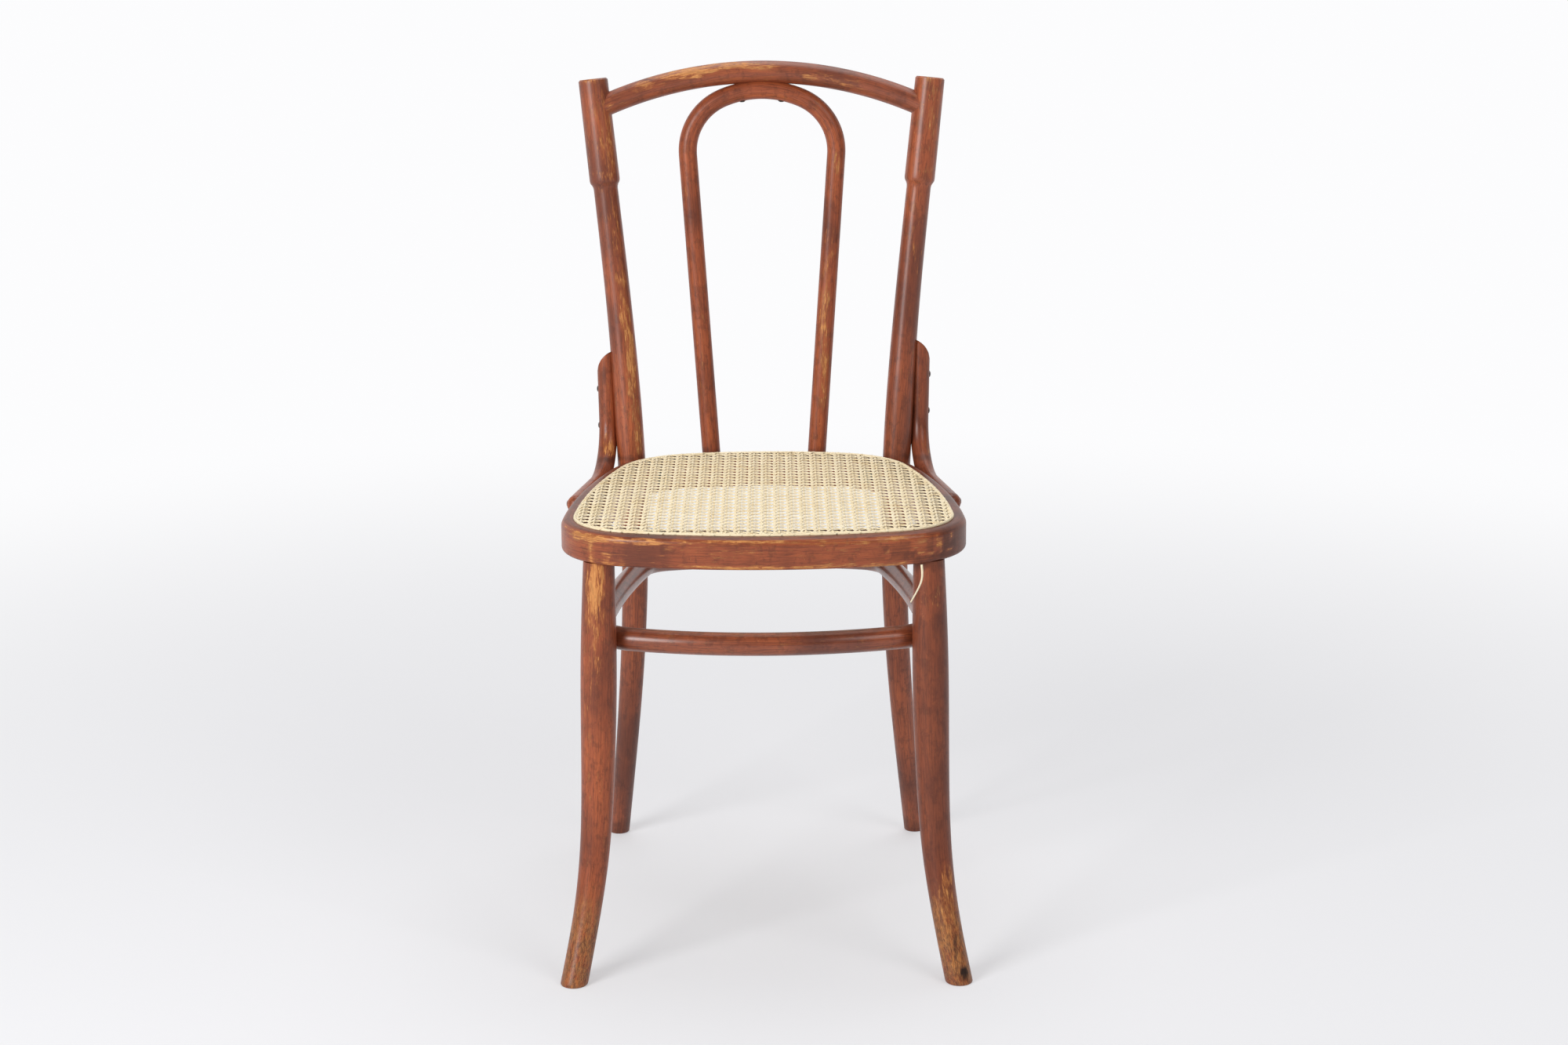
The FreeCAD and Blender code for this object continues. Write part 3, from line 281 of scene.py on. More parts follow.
class BeechPatterns:
    """The noises that the beech's colour, wear and relief are drawn from.

    Those on the stick run with the grain: their scales are waves per metre across, deep and along it.
    """

    def __init__(self, paint: Paint, shift: float) -> None:
        """Adds the noises, each at its own place in the pattern.

        Args:
            paint: The material.
            shift: The piece's own place in the pattern.
        """
        stick = paint.attribute(GRAIN_ATTRIBUTE, "Vector")
        place = paint.place()
        self.streak = paint.noise(paint.scaled(stick, (240.0, 240.0, 6.0), shift), 4.0, 0.62)
        self.fibre = paint.noise(paint.scaled(stick, (950.0, 950.0, 34.0), shift + 3.0), 3.0, 0.6)
        self.hatch = paint.noise(paint.scaled(stick, (1200.0, 1200.0, 95.0), shift + 13.0), 2.0, 0.6)
        self.rub = paint.noise(paint.scaled(stick, (290.0, 290.0, 60.0), shift + 5.0), 3.0, 0.62)
        self.fleck = paint.noise(paint.scaled(stick, (560.0, 560.0, 170.0), shift + 17.0), 4.0, 0.7)
        self.cloud = paint.noise(paint.scaled(place, (13.0, 13.0, 8.0), shift + 7.0), 3.0, 0.6)
        self.mottle = paint.noise(paint.scaled(place, (110.0, 110.0, 75.0), shift + 11.0), 5.0, 0.68)
        self.chips = paint.noise(paint.scaled(place, (300.0, 300.0, 210.0), shift + 2.0), 2.0, 0.5)

        split = paint.node("ShaderNodeSeparateXYZ", Vector=place)
        depth, height = paint.signal(split, 1), paint.signal(split, 2)
        self.foot = height.ramp(0.11, 0.045) * (depth * -20.0).clamped()
        crazed = paint.noise(paint.scaled(stick, (420.0, 420.0, 60.0), shift + 9.0), 4.0, 0.7)
        self.crack = paint.maths("ABSOLUTE", crazed - 0.5).ramp(0.022, 0.008) * self.foot


@dataclass(frozen=True)
class StainedBeech:
    """Mahogany stain under an old varnish, thinned to ochre and rubbed through to golden wood."""

    name: str
    gloss: float
    sheen: float
    age: float
    shift: float
    stain: Colour = (0.33, 0.076, 0.027)
    stain_dark: Colour = (0.078, 0.019, 0.01)
    stain_red: Colour = (0.47, 0.115, 0.035)
    thin_stain: Colour = (0.46, 0.15, 0.038)
    bare: Colour = (0.68, 0.31, 0.1)
    olive: Colour = (0.33, 0.145, 0.05)
    scuffed: Colour = (0.2, 0.085, 0.035)
    grime: Colour = (0.03, 0.014, 0.009)
    roughness: float = 0.42
    coat_roughness: float = 0.27
    relief_depth: float = 0.0002

    def stained(self, paint: Paint, wood: BeechPatterns) -> Signal:
        """The stain: light and dark clouds, red streaks, dark flecks and fibres, and the piece's darkening
        by age and painted shade.
        """
        colour = paint.mix(0.42 + wood.cloud.ramp(0.3, 0.54) * 0.58, self.stain_dark, self.stain)
        red = wood.streak.ramp(0.38, 0.64) * wood.cloud.ramp(0.4, 0.62) * 0.8
        colour = paint.mix(red, colour, self.stain_red)
        for pattern, low, high, strength in (
            (wood.mottle, 0.5, 0.62, 0.4), (wood.fibre, 0.46, 0.62, 0.42), (wood.hatch, 0.54, 0.64, 0.4),
        ):
            colour = paint.mix(pattern.ramp(low, high) * strength, colour, self.stain_dark)
        # Darkens the whole piece: age, and painted shade on the right leg and right bracket, away from the
        # key lamp
        return paint.mix(self.age, colour, self.stain_dark)

    def worn(
        self, paint: Paint, wood: BeechPatterns, wear: Signal, colour: Signal
    ) -> tuple[Signal, Signal]:
        """Thins the stain to ochre and rubs it through where the wear is strong, and chips it.

        Args:
            paint: The material.
            wood: Its noises.
            wear: How rubbed the place is; below 0, how dark with painted shade and grime.
            colour: The stained wood.

        Returns:
            The new colour, and how bare the wood is, from 0 to 1.
        """
        ragged = wood.rub * 0.4 + wood.hatch * 0.35 + wood.mottle * 0.25
        level = ragged + (wear - 0.5) * 0.32
        through = level.ramp(0.485, 0.54) * (0.62 + wood.hatch.ramp(0.4, 0.6) * 0.38)
        specks = wood.chips.ramp(0.7, 0.73) * wood.cloud.ramp(0.44, 0.6) * (0.25 + wear * 1.5).clamped()
        bared = paint.maths("MAXIMUM", through, specks * 0.75)
        tone = paint.mix(wood.fibre.ramp(0.4, 0.6) * 0.6, self.bare, self.thin_stain)
        tone = paint.mix(wood.rub.ramp(0.56, 0.66) * 0.55, tone, self.olive)
        thin = paint.mix(wood.cloud.ramp(0.42, 0.6) * 0.7, self.thin_stain, self.olive)
        colour = paint.mix(level.ramp(0.4, 0.52) * 0.75, colour, thin)
        return paint.mix(bared, colour, tone), bared

    def scuffed_feet(self, paint: Paint, wood: BeechPatterns, bared: Signal, colour: Signal) -> Signal:
        """The front feet, matted, flecked and cracked by brooms and shoes."""
        matted = wood.mottle.ramp(0.34, 0.56) * wood.foot * 0.8
        colour = paint.mix(matted * (1.0 - bared * 0.5), colour, self.scuffed)
        colour = paint.mix(wood.fleck.ramp(0.52, 0.6) * wood.foot * 0.6, colour, self.thin_stain)
        colour = paint.mix(wood.fleck.ramp(0.47, 0.4) * wood.foot * 0.55, colour, self.stain_dark)
        return paint.mix(wood.crack * 0.35, colour, self.bare)

    def build(self) -> bpy.types.Material:
        """Builds the material.

        Returns:
            A material that reads the stick attribute, the wear attribute with its painted shade, and Object
            coordinates.
        """
        paint = Paint(self.name)
        wood = BeechPatterns(paint, self.shift)
        wear = paint.attribute(WEAR_AND_SHADE_ATTRIBUTE, "Fac")
        # Darkening where the wear attribute is below 0: painted shade on the ring's top, the right front
        # and the back legs
        grime_and_shade_mask = (0.0 - wear).clamped()
        colour, bared = self.worn(paint, wood, wear, self.stained(paint, wood))
        colour = self.scuffed_feet(paint, wood, bared, colour)
        relief = wood.fibre * 0.35 + wood.streak * 0.3 + wood.mottle * 0.25 - bared * 0.5 - wood.crack * 0.4
        shader = paint.node(
            "ShaderNodeBsdfPrincipled",
            Base_Color=paint.mix(grime_and_shade_mask, colour, self.grime),
            Specular_IOR_Level=self.sheen,
            Roughness=self.roughness + wood.mottle * 0.16 + bared * 0.15 + grime_and_shade_mask * 0.2,
            Coat_Weight=(1.0 - bared * 0.7 - grime_and_shade_mask * 0.4) * self.gloss,
            Coat_Roughness=self.coat_roughness,
            Normal=paint.bump(relief, self.relief_depth, 0.5),
        )
        return paint.finish(shader)


@dataclass(frozen=True)
class SplitCane:
    """The smooth outer skin of rattan, pale straw, each strand a little different."""

    name: str = "split_cane"
    pale: Colour = (0.92, 0.77, 0.49)
    warm: Colour = (0.83, 0.63, 0.33)
    light: Colour = (0.97, 0.86, 0.63)
    relief_depth: float = 0.0001

    def build(self) -> bpy.types.Material:
        """Builds the material from the strand number and Object coordinates."""
        paint = Paint(self.name)
        strand = paint.attribute(STRAND_ATTRIBUTE, "Fac")
        place = paint.place()
        cloud = paint.noise(paint.scaled(place, (45.0, 45.0, 45.0), 2.0), 3.0, 0.6)
        fine = paint.noise(paint.scaled(place, (900.0, 900.0, 900.0), 4.0), 2.0, 0.5)
        colour = paint.mix(strand, self.pale, self.light)
        colour = paint.mix(cloud.ramp(0.5, 0.75) * 0.6, colour, self.warm)
        colour = paint.mix(fine.ramp(0.55, 0.75) * 0.35, colour, self.warm)
        shader = paint.node(
            "ShaderNodeBsdfPrincipled", Base_Color=colour, Roughness=0.42 + cloud * 0.15,
            Normal=paint.bump(fine, self.relief_depth, 0.5),
        )
        return paint.finish(shader)


@dataclass(frozen=True)
class AgedSteel:
    """Dark, slightly rusted steel of old screws, nuts and washers."""

    name: str = "aged_steel"
    dark: Colour = (0.055, 0.045, 0.04)
    rust: Colour = (0.16, 0.07, 0.035)
    bright: Colour = (0.3, 0.27, 0.24)
    relief_depth: float = 0.00012

    def build(self) -> bpy.types.Material:
        """Builds the material from Object coordinates."""
        paint = Paint(self.name)
        place = paint.place()
        cloud = paint.noise(paint.scaled(place, (260.0, 260.0, 260.0)), 4.0, 0.6)
        grain = paint.noise(paint.scaled(place, (1400.0, 1400.0, 1400.0), 6.0), 2.0, 0.6)
        rusted = cloud.ramp(0.45, 0.7)
        colour = paint.mix(rusted, self.dark, self.rust)
        colour = paint.mix(grain.ramp(0.6, 0.8) * 0.5, colour, self.bright)
        shader = paint.node(
            "ShaderNodeBsdfPrincipled", Base_Color=colour, Metallic=0.85 - rusted * 0.6,
            Roughness=0.38 + cloud * 0.35, Normal=paint.bump(grain + cloud, self.relief_depth, 0.6),
        )
        return paint.finish(shader)


# Wear and painted shade


@dataclass(frozen=True)
class WearMap:
    """The rubbed places (above 0), and the darker ones (below 0) of painted shade and grime, in
    millimetres.

    Each spot is its centre, its reach along X, Y and Z, and its strength: 0.5 bares half of the wood there.
    A place takes the general wear outside every spot, and a spot darker than black hides the rubbing.
    """

    spots: tuple[tuple[float, float, float, float, float, float, float], ...]
    general: float = 0.03
    black: float = -0.35
    steepness: float = 1.8

    def at(self, place: Vector) -> float:
        """The value at a place: strong darkening, else the strongest rubbed spot, else any light darkening.
        """
        rubbed = self.general
        darkened = 0.0
        for x, y, z, reach_x, reach_y, reach_z, strength in self.spots:
            if abs(place.z - z) >= reach_z or abs(place.x - x) >= reach_x:
                continue
            square = ((place.x - x) / reach_x) ** 2 + ((place.y - y) / reach_y) ** 2
            square += ((place.z - z) / reach_z) ** 2
            value = strength * min(1.0, self.steepness * max(0.0, 1.0 - square))
            rubbed = max(rubbed, value)
            darkened = min(darkened, value)
        if darkened < self.black or (darkened < 0.0 and rubbed <= self.general):
            return darkened
        return rubbed


CHAIR_WEAR_AND_SHADE = WearMap(
    spots=(
        # Seat ring: painted shade on top and at the right front
        (0, 0, 458.5, 900, 900, 3, -0.4), (172, -165, 438, 80, 90, 26, -0.345),
        # Worn under the upper edge from the left corner to the right one
        (-194, -159, 454, 12, 22, 6, 0.38), (-186, -174, 452, 14, 16, 6, 0.45),
        (-173, -186, 452, 16, 14, 5.5, 0.6), (-157, -196, 453, 20, 14, 5, 0.58),
        (-145, -201, 452.5, 18, 12, 5, 0.54), (-117, -208, 453, 34, 10, 4, 0.47),
        (-87, -213, 453.5, 30, 10, 3.5, 0.36), (-34, -218, 455, 45, 10, 3, 0.45),
        (-11, -219, 455.3, 50, 10, 3, 0.43), (43, -218, 454, 40, 10, 3, 0.31),
        (58, -217, 453.5, 30, 10, 3.5, 0.31), (100, -211, 452.6, 35, 10, 3.5, 0.32),
        (120, -207, 453.8, 22, 10, 3.5, 0.43), (136, -202.5, 455, 18, 10, 4, 0.49),
        (155, -198, 450, 9, 9, 9, 0.32), (155, -198, 438, 5, 6, 5, 0.41),
        # its scratches on the right, its drips, its middle and its lower edge
        (171, -188, 447, 1.6, 8, 9, 0.5), (176, -183, 443, 1.4, 8, 12, 0.45),
        (163, -194, 436, 7, 7, 2, 0.5), (187, -172, 449, 1.4, 8, 7, 0.45),
        (183, -176, 436, 5, 8, 2, 0.42), (149, -200, 443, 1.5, 7, 7, 0.42),
        (-171, -189, 440, 5.5, 8, 15, 0.56), (-156, -197, 434, 6, 8, 8, 0.5),
        (-194, -161, 439, 10, 14, 8, 0.27), (-40, -219, 446, 62, 9, 8, 0.2),
        (60, -217, 444, 60, 9, 7, 0.11), (-154, -198, 429.5, 12, 8, 3, 0.47),
        (-143, -201.5, 429.5, 14, 8, 3, 0.47), (-57, -217, 429, 60, 8, 2.6, 0.45),
        (-11, -220, 428.7, 50, 8, 2.6, 0.5), (58, -217, 429, 60, 8, 2.6, 0.45),
        (112, -208, 428, 25, 10, 4, 0.52), (132, -204, 428, 16, 8, 4, 0.5),
        (121.5, -207, 439, 4, 6, 4, 0.45),
        # Front legs: the bare patch below the ring, the feet, and painted shade on the right leg
        (175, -200, 220, 50, 70, 300, -0.1), (-168, -190, 392, 13, 11, 55, 0.4),
        (-168.7, -189.4, 402, 5.8, 8, 38, 0.72), (-162, -187, 417, 5, 8, 10, 0.57),
        (-171, -195, 339, 10, 9, 60, 0.26), (163, -191, 392, 14, 10, 30, 0.09),
        (-177, -197, 260, 8, 9, 40, 0.15), (-185, -226, 42, 24, 28, 62, 0.28),
        (182, -224, 62, 22, 22, 60, 0.33), (185, -228, 55, 12, 11, 24, 0.44),
        (192, -233, 32, 15, 15, 32, 0.4), (182, -213, 106, 8, 9, 16, 0.39),
        (198.6, -238, 13, 5.5, 7, 8, -1), (190, -231, 40, 3, 8, 22, -0.5),
        # Top rail
        (-98, 203, 868.5, 42, 11, 5.5, 0.52), (-77, 206, 874, 42, 11, 5.5, 0.58),
        (-39, 209, 879, 40, 11, 5.5, 0.55), (-9.5, 207.5, 878, 36, 9, 5, 0.44),
        (-128, 198, 859.5, 15, 9, 6.5, 0.39), (-134.5, 196, 855.5, 9, 8, 6, 0.35),
        (61, 203, 866, 22, 9, 5, 0.34), (92, 200, 860, 30, 9, 5, 0.2), (0, 226, 881, 120, 12, 7, 0.25),
        (-100, 200, 860, 50, 10, 14, 0.1),
        # Turned heads
        (-176, 186, 815, 22, 20, 62, 0.16), (-168.7, 181.4, 796, 7, 8, 32, 0.34),
        (-163.7, 187, 809, 6.5, 9, 48, 0.39), (-162, 181, 771, 7, 8, 16, 0.37),
        (-175, 184, 827, 6, 6, 12, 0.25), (-173, 180, 766, 20, 15, 4, 0.31),
        (-188, 197, 866, 22, 22, 3.5, 0.41), (178, 186, 838, 14, 11, 36, 0.19),
        (182.5, 184, 819, 5, 6, 26, 0.34), (170, 189, 800, 7, 9, 40, 0.16),
        (188, 197, 866, 22, 22, 3.2, 0.36), (176, 184, 768, 18, 14, 4, 0.19),
        # Back posts
        (-161.5, 179, 721.5, 7, 8, 32, 0.26), (-157.6, 177, 695, 8, 8, 32, 0.28),
        (-153, 170.5, 644, 9, 8, 42, 0.31), (-149, 166, 612, 9, 8, 32, 0.4),
        (-144.5, 163, 581, 8.5, 8, 30, 0.52), (-143, 160.5, 565, 8.5, 8, 26, 0.53),
        (-143, 156, 539.5, 8.5, 8, 26, 0.45), (-140, 153, 510, 9, 8, 26, 0.36),
        (-135.6, 152.7, 479, 8, 8, 20, 0.43), (163, 176, 698, 10, 8, 60, 0.1),
        (144.4, 161, 571, 9, 8, 40, 0.12), (150, 150, 490, 22, 16, 46, -0.22),
        # Painted shade on both back legs below the seat, then the back feet darker at the bottom
        (-165, 190, 230, 60, 90, 260, -0.24), (165, 190, 230, 60, 90, 260, -0.14),
        (-163, 220, 6, 18, 18, 20, -0.45), (164, 222, 3, 18, 18, 20, -0.45),
        # Brackets and loop
        (-168, 150, 467, 9, 10, 13, 0.46), (-171, 157, 478, 7, 8, 10, 0.37),
        (178, 150, 470, 9, 10, 14, 0.18), (72.8, 195.5, 687, 6, 6, 30, 0.18),
        (69, 192.5, 639, 6, 6, 42, 0.37), (65.7, 191, 606, 6, 6, 44, 0.46),
        (67, 188, 563, 6, 6, 36, 0.44), (65.4, 185, 523.6, 6, 6, 24, 0.37),
        (80.7, 201, 771.6, 5, 6, 16, 0.32), (-85, 202, 755, 6, 8, 50, 0.12),
        (-69, 190, 594, 7, 7, 60, 0.09),
    ),
)


# Bars


@dataclass
class Ring:
    """One cross-section of a bar: its centre, its own axes, its outline and its place along the stick."""

    centre: Vector
    across: Vector
    deep: Vector
    outline: Outline
    along: float


def travelled(centres: Sequence[Vector]) -> list[float]:
    """How far along a line each of its points is."""
    made = [0.0]
    for before, here in zip(centres, centres[1:]):
        made.append(made[-1] + (here - before).length)
    return made


def round_outline(radius: float, sides: int) -> Outline:
    """A circle of points."""
    return [
        (radius * math.cos(2 * math.pi * n / sides), radius * math.sin(2 * math.pi * n / sides))
        for n in range(sides)
    ]


@dataclass(frozen=True)
class BarBuilder:
    """Skins rings into a closed bar that carries its grain, its wear and its painted shade."""

    name: str
    wear: WearMap = CHAIR_WEAR_AND_SHADE
    merge_distance: float = 0.02
    crease: float = 40.0

    def skin(self, rings: Sequence[Ring], closed: bool = False) -> bpy.types.Object:
        """Joins the rings with faces.

        Args:
            rings: The cross-sections in order, all with the same number of points.
            closed: Whether the last ring joins the first, at a scarf.

        Returns:
            An object in metres with the stick and wear attributes, the wear one with painted shade, linked
            to the scene.
        """
        count = len(rings[0].outline)
        mesh = bmesh.new()
        grain = mesh.loops.layers.float_vector.new(GRAIN_ATTRIBUTE)
        rows = []
        sticks: list[list[Vector]] = []
        for ring in rings:
            places = [ring.centre + ring.across * u + ring.deep * v for u, v in ring.outline]
            rows.append([mesh.verts.new(place * MM) for place in places])
            sticks.append([Vector((u, v, ring.along)) * MM for u, v in ring.outline])
        total = rings[-1].along
        if closed:
            step = (rings[0].centre - rings[-1].centre).length
            rows.append(rows[0])
            sticks.append([Vector((u, v, total + step)) * MM for u, v in rings[0].outline])
        for low in range(len(rows) - 1):
            for n in range(count):
                m = (n + 1) % count
                corners = ((low, n), (low, m), (low + 1, m), (low + 1, n))
                face = mesh.faces.new([rows[i][k] for i, k in corners])
                for loop, (i, k) in zip(face.loops, corners):
                    loop[grain] = sticks[i][k]
        if not closed:
            for place, order in ((0, -1), (len(rows) - 1, 1)):
                face = mesh.faces.new(rows[place][::order])
                for loop, stick in zip(face.loops, sticks[place][::order]):
                    loop[grain] = stick
        bmesh.ops.remove_doubles(mesh, verts=mesh.verts, dist=self.merge_distance * MM)
        bmesh.ops.recalc_face_normals(mesh, faces=mesh.faces)
        return self.finish(mesh)

    def finish(self, mesh: bmesh.types.BMesh) -> bpy.types.Object:
        """Writes the wear and painted shade, makes the object and shades it smooth."""
        data = mesh_data(self.name, mesh)
        mark_points(data, WEAR_AND_SHADE_ATTRIBUTE, [self.wear.at(vertex.co / MM) for vertex in data.vertices])
        data.shade_smooth()
        data.set_sharp_from_angle(angle=math.radians(self.crease))
        return linked(self.name, data)


def spline(knots: Sequence[float], values: Sequence[float]) -> Track:
    """A natural cubic spline through values at knots.

    Args:
        knots: Rising places.
        values: What the spline takes there.

    Returns:
        A function of place.
    """
    count = len(knots)
    gaps = [knots[i + 1] - knots[i] for i in range(count - 1)]
    slope_terms = [0.0] * count
    lower = [1.0] * count
    carried = [0.0] * count
    for i in range(1, count - 1):
        rise = 3 * ((values[i + 1] - values[i]) / gaps[i] - (values[i] - values[i - 1]) / gaps[i - 1])
        lower[i] = 2 * (knots[i + 1] - knots[i - 1]) - gaps[i - 1] * carried[i - 1]
        carried[i] = gaps[i] / lower[i]
        slope_terms[i] = (rise - gaps[i - 1] * slope_terms[i - 1]) / lower[i]
    curves = [0.0] * count
    for i in range(count - 2, -1, -1):
        curves[i] = slope_terms[i] - carried[i] * curves[i + 1]

    def at(place: float) -> float:
        """The spline's value at a place."""
        i = min(max(sum(knot <= place for knot in knots) - 1, 0), count - 2)
        step = place - knots[i]
        linear = (values[i + 1] - values[i]) / gaps[i] - gaps[i] * (curves[i + 1] + 2 * curves[i]) / 3
        cubic = (curves[i + 1] - curves[i]) / (3 * gaps[i])
        return values[i] + step * (linear + step * (curves[i] + step * cubic))

    return at


def station_tracks(stations: Sequence[Station]) -> tuple[Track, Track, Track]:
    """A leg's place across, its place back and its width, each as a function of height."""
    heights = [station[0] for station in stations]
    return tuple(spline(heights, [station[k] for station in stations]) for k in (1, 2, 3))


@dataclass(frozen=True)
class Arc:
    """An arc in plan, from one angle to another."""

    centre: tuple[float, float]
    radius: float
    start: float
    end: float

    def at(self, angle: float) -> tuple[float, float]:
        """The point at an angle."""
        return (
            self.centre[0] + self.radius * math.cos(angle),
            self.centre[1] + self.radius * math.sin(angle),
        )


@dataclass(frozen=True)
class RoundedOutline:
    """A front, corner, side, back corner and back arc, mirrored to the other side.

    The side arc passes through side_x and side_y, and it faces outwards there, turned towards the back by
    the taper, in degrees.
    """

    front: float
    front_radius: float
    corner_radius: float
    side_x: float
    side_y: float
    side_taper: float
    side_radius: float
    back_corner_radius: float
    back: float
    back_radius: float

    def arcs(self, inset: float) -> list[Arc]:
        """The ten arcs from the middle of the back round to it, set in by a distance."""
        taper = math.radians(self.side_taper)
        front = Vector((0.0, self.front_radius - self.front))
        back = Vector((0.0, self.back - self.back_radius))
        side = Vector((self.side_x, self.side_y))
        side -= Vector((math.cos(taper), math.sin(taper))) * self.side_radius
        corner = self._meet(
            front, self.front_radius - self.corner_radius, side, self.side_radius - self.corner_radius, -1
        )
        back_corner = self._meet(
            back, self.back_radius - self.back_corner_radius,
            side, self.side_radius - self.back_corner_radius, 1,
        )

        def angle(towards: Vector, start: Vector) -> float:
            """The direction from one centre towards another."""
            return math.atan2(towards.y - start.y, towards.x - start.x)

        turns = (
            angle(corner, front), angle(corner, side), angle(back_corner, side), angle(back_corner, back)
        )
        right = [
            (front, self.front_radius, -math.pi / 2, turns[0]),
            (corner, self.corner_radius, turns[0], turns[1]),
            (side, self.side_radius, turns[1], turns[2]),
            (back_corner, self.back_corner_radius, turns[2], turns[3]),
            (back, self.back_radius, turns[3], math.pi / 2),
        ]
        rows = [Arc(tuple(centre), radius - inset, start, end) for centre, radius, start, end in right]
        mirrored = [
            Arc((-arc.centre[0], arc.centre[1]), arc.radius, math.pi - arc.end, math.pi - arc.start)
            for arc in reversed(rows)
        ]
        return mirrored + rows

    @staticmethod
    def _meet(
        first: Vector, first_radius: float, second: Vector, second_radius: float, side: int
    ) -> Vector:
        """The point where two circles meet, the lower (-1) or the higher (1)."""
        between = second - first
        distance = between.length
        along = (distance**2 + first_radius**2 - second_radius**2) / (2 * distance)
        aside = math.sqrt(first_radius**2 - along**2)
        foot = first + between * (along / distance)
        across = Vector((-between.y, between.x)) * (aside / distance)
        pair = sorted((foot + across, foot - across), key=lambda place: place.y)
        return pair[0] if side < 0 else pair[1]

    def points(self, inset: float, spacing: float) -> list[tuple[Vector, Vector, float]]:
        """Points round the outline from the middle of the back.

        Args:
            inset: Distance in from the outline.
            spacing: About how far apart the points are.

        Returns:
            The place, the outward direction and the distance along, for each point.
        """
        made = []
        passed = 0.0
        for arc in self.arcs(inset):
            length = arc.radius * (arc.end - arc.start)
            steps = max(2, round(length / spacing))
            for step in range(steps):
                angle = arc.start + (arc.end - arc.start) * step / steps
                x, y = arc.at(angle)
                outward = Vector((math.cos(angle), math.sin(angle), 0.0))
                made.append((Vector((x, y, 0.0)), outward, passed + length * step / steps))
            passed += length
        return made


SEAT_OUTLINE = RoundedOutline(
    front=220.5, front_radius=560.0, corner_radius=82.0, side_x=190.0, side_y=5.0, side_taper=10.3,
    side_radius=900.0, back_corner_radius=105.0, back=186.5, back_radius=420.0,
)
HOOP_OUTLINE = RoundedOutline(
    front=183.0, front_radius=430.0, corner_radius=48.0, side_x=157.0, side_y=8.0, side_taper=8.0,
    side_radius=1200.0, back_corner_radius=36.0, back=170.0, back_radius=450.0,
)


class Side(Enum):
    """The side of the chair, as seen from the front."""

    RIGHT = 1
    LEFT = -1

    @property
    def word(self) -> str:
        """The side's name in lower case."""
        return self.name.lower()

    def mirrored(self, place: Vector) -> Vector:
        """A place of the right side, moved to this side."""
        return Vector((place.x * self.value, place.y, place.z))


def mirrored_rings(rings: Sequence[Ring], side: Side) -> list[Ring]:
    """Rings of a right-hand bar, moved to a side."""
    return [
        Ring(side.mirrored(r.centre), side.mirrored(r.across), side.mirrored(r.deep), r.outline, r.along)
        for r in rings
    ]


def softened_end(ring: Ring, direction: Vector, radius: float, steps: int = 5) -> list[Ring]:
    """Rings that round a bar's end over, from its last full ring outwards.

    Args:
        ring: The cross-section at the bar's very end.
        direction: The way the bar ends, outwards.
        radius: Size of the rounding.
        steps: How many steps the rounding has.

    Returns:
        Rings from the start of the rounding to the end face.
    """
    full = max(math.hypot(u, v) for u, v in ring.outline)
    made = []
    for step in range(steps + 1):
        angle = 0.5 * math.pi * step / steps
        back = radius * (1.0 - math.sin(angle))
        scale = (full - radius * (1.0 - math.cos(angle))) / full
        outline = [(u * scale, v * scale) for u, v in ring.outline]
        centre = ring.centre - direction * back
        made.append(Ring(centre, ring.across, ring.deep, outline, ring.along - back))
    return made


# The wooden pieces


@dataclass
class WoodenPiece:
    """A wooden piece that stands for one CAD node, with its finish.

    The shift is its own place in the grain pattern, and its darkening by age and painted shade darkens its
    stain.
    """

    node: str
    shift: float
    gloss: float = 0.5
    sheen: float = 0.15
    age: float = 0.0

    def rings(self) -> tuple[list[Ring], bool]:
        """The piece's rings, and whether they close."""
        raise NotImplementedError

    def build(self) -> bpy.types.Object:
        """Skins the piece and gives it its own beech."""
        rings, closed = self.rings()
        made = BarBuilder(f"{self.node}_wood").skin(rings, closed)
        beech = StainedBeech(f"{self.node}_beech", self.gloss, self.sheen, self.age, self.shift)
        made.data.materials.append(beech.build())
        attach(made, BODY)
        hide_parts(self.node)
        return made


@dataclass
class SeatRing(WoodenPiece):
    """The bent ring with its rounded outer edge and flat top."""

    width: float = 37.0
    height: float = 32.0
    top: float = 458.0
    top_round: float = 7.0
    bottom_round: float = 4.0
    inner_round: float = 2.5
    outline_gap: float = 3.2

    def section(self) -> Outline:
        """The ring's section, outwards and upwards from its middle."""
        half_width = self.width / 2
        half_height = self.height / 2
        corners = (
            (1, 1, self.top_round, 0.0), (-1, 1, self.inner_round, 90.0),
            (-1, -1, self.inner_round, 180.0), (1, -1, self.bottom_round, 270.0),
        )
        points = []
        for sign_x, sign_y, radius, start in corners:
            centre = (sign_x * (half_width - radius), sign_y * (half_height - radius))
            steps = 6 if radius > self.inner_round else 4
            for step in range(steps + 1):
                angle = math.radians(start + 90.0 * step / steps)
                points.append(
                    (centre[0] + radius * math.cos(angle), centre[1] + radius * math.sin(angle))
                )
        return self._filled(points)

    def _filled(self, points: Outline) -> Outline:
        """The outline with points added along its longer edges, for the wear and painted shade to show on.
        """
        made = []
        for first, second in zip(points, points[1:] + points[:1]):
            steps = max(1, round(math.dist(first, second) / self.outline_gap))
            for step in range(steps):
                part = step / steps
                made.append(
                    (first[0] + (second[0] - first[0]) * part, first[1] + (second[1] - first[1]) * part)
                )
        return made

    def rings(self) -> tuple[list[Ring], bool]:
        """Rings round the middle of the section."""
        section = self.section()
        height = Vector((0.0, 0.0, self.top - self.height / 2))
        rows = SEAT_OUTLINE.points(self.width / 2, RING_SPACING)
        return [Ring(place + height, out, UP, section, along) for place, out, along in rows], True


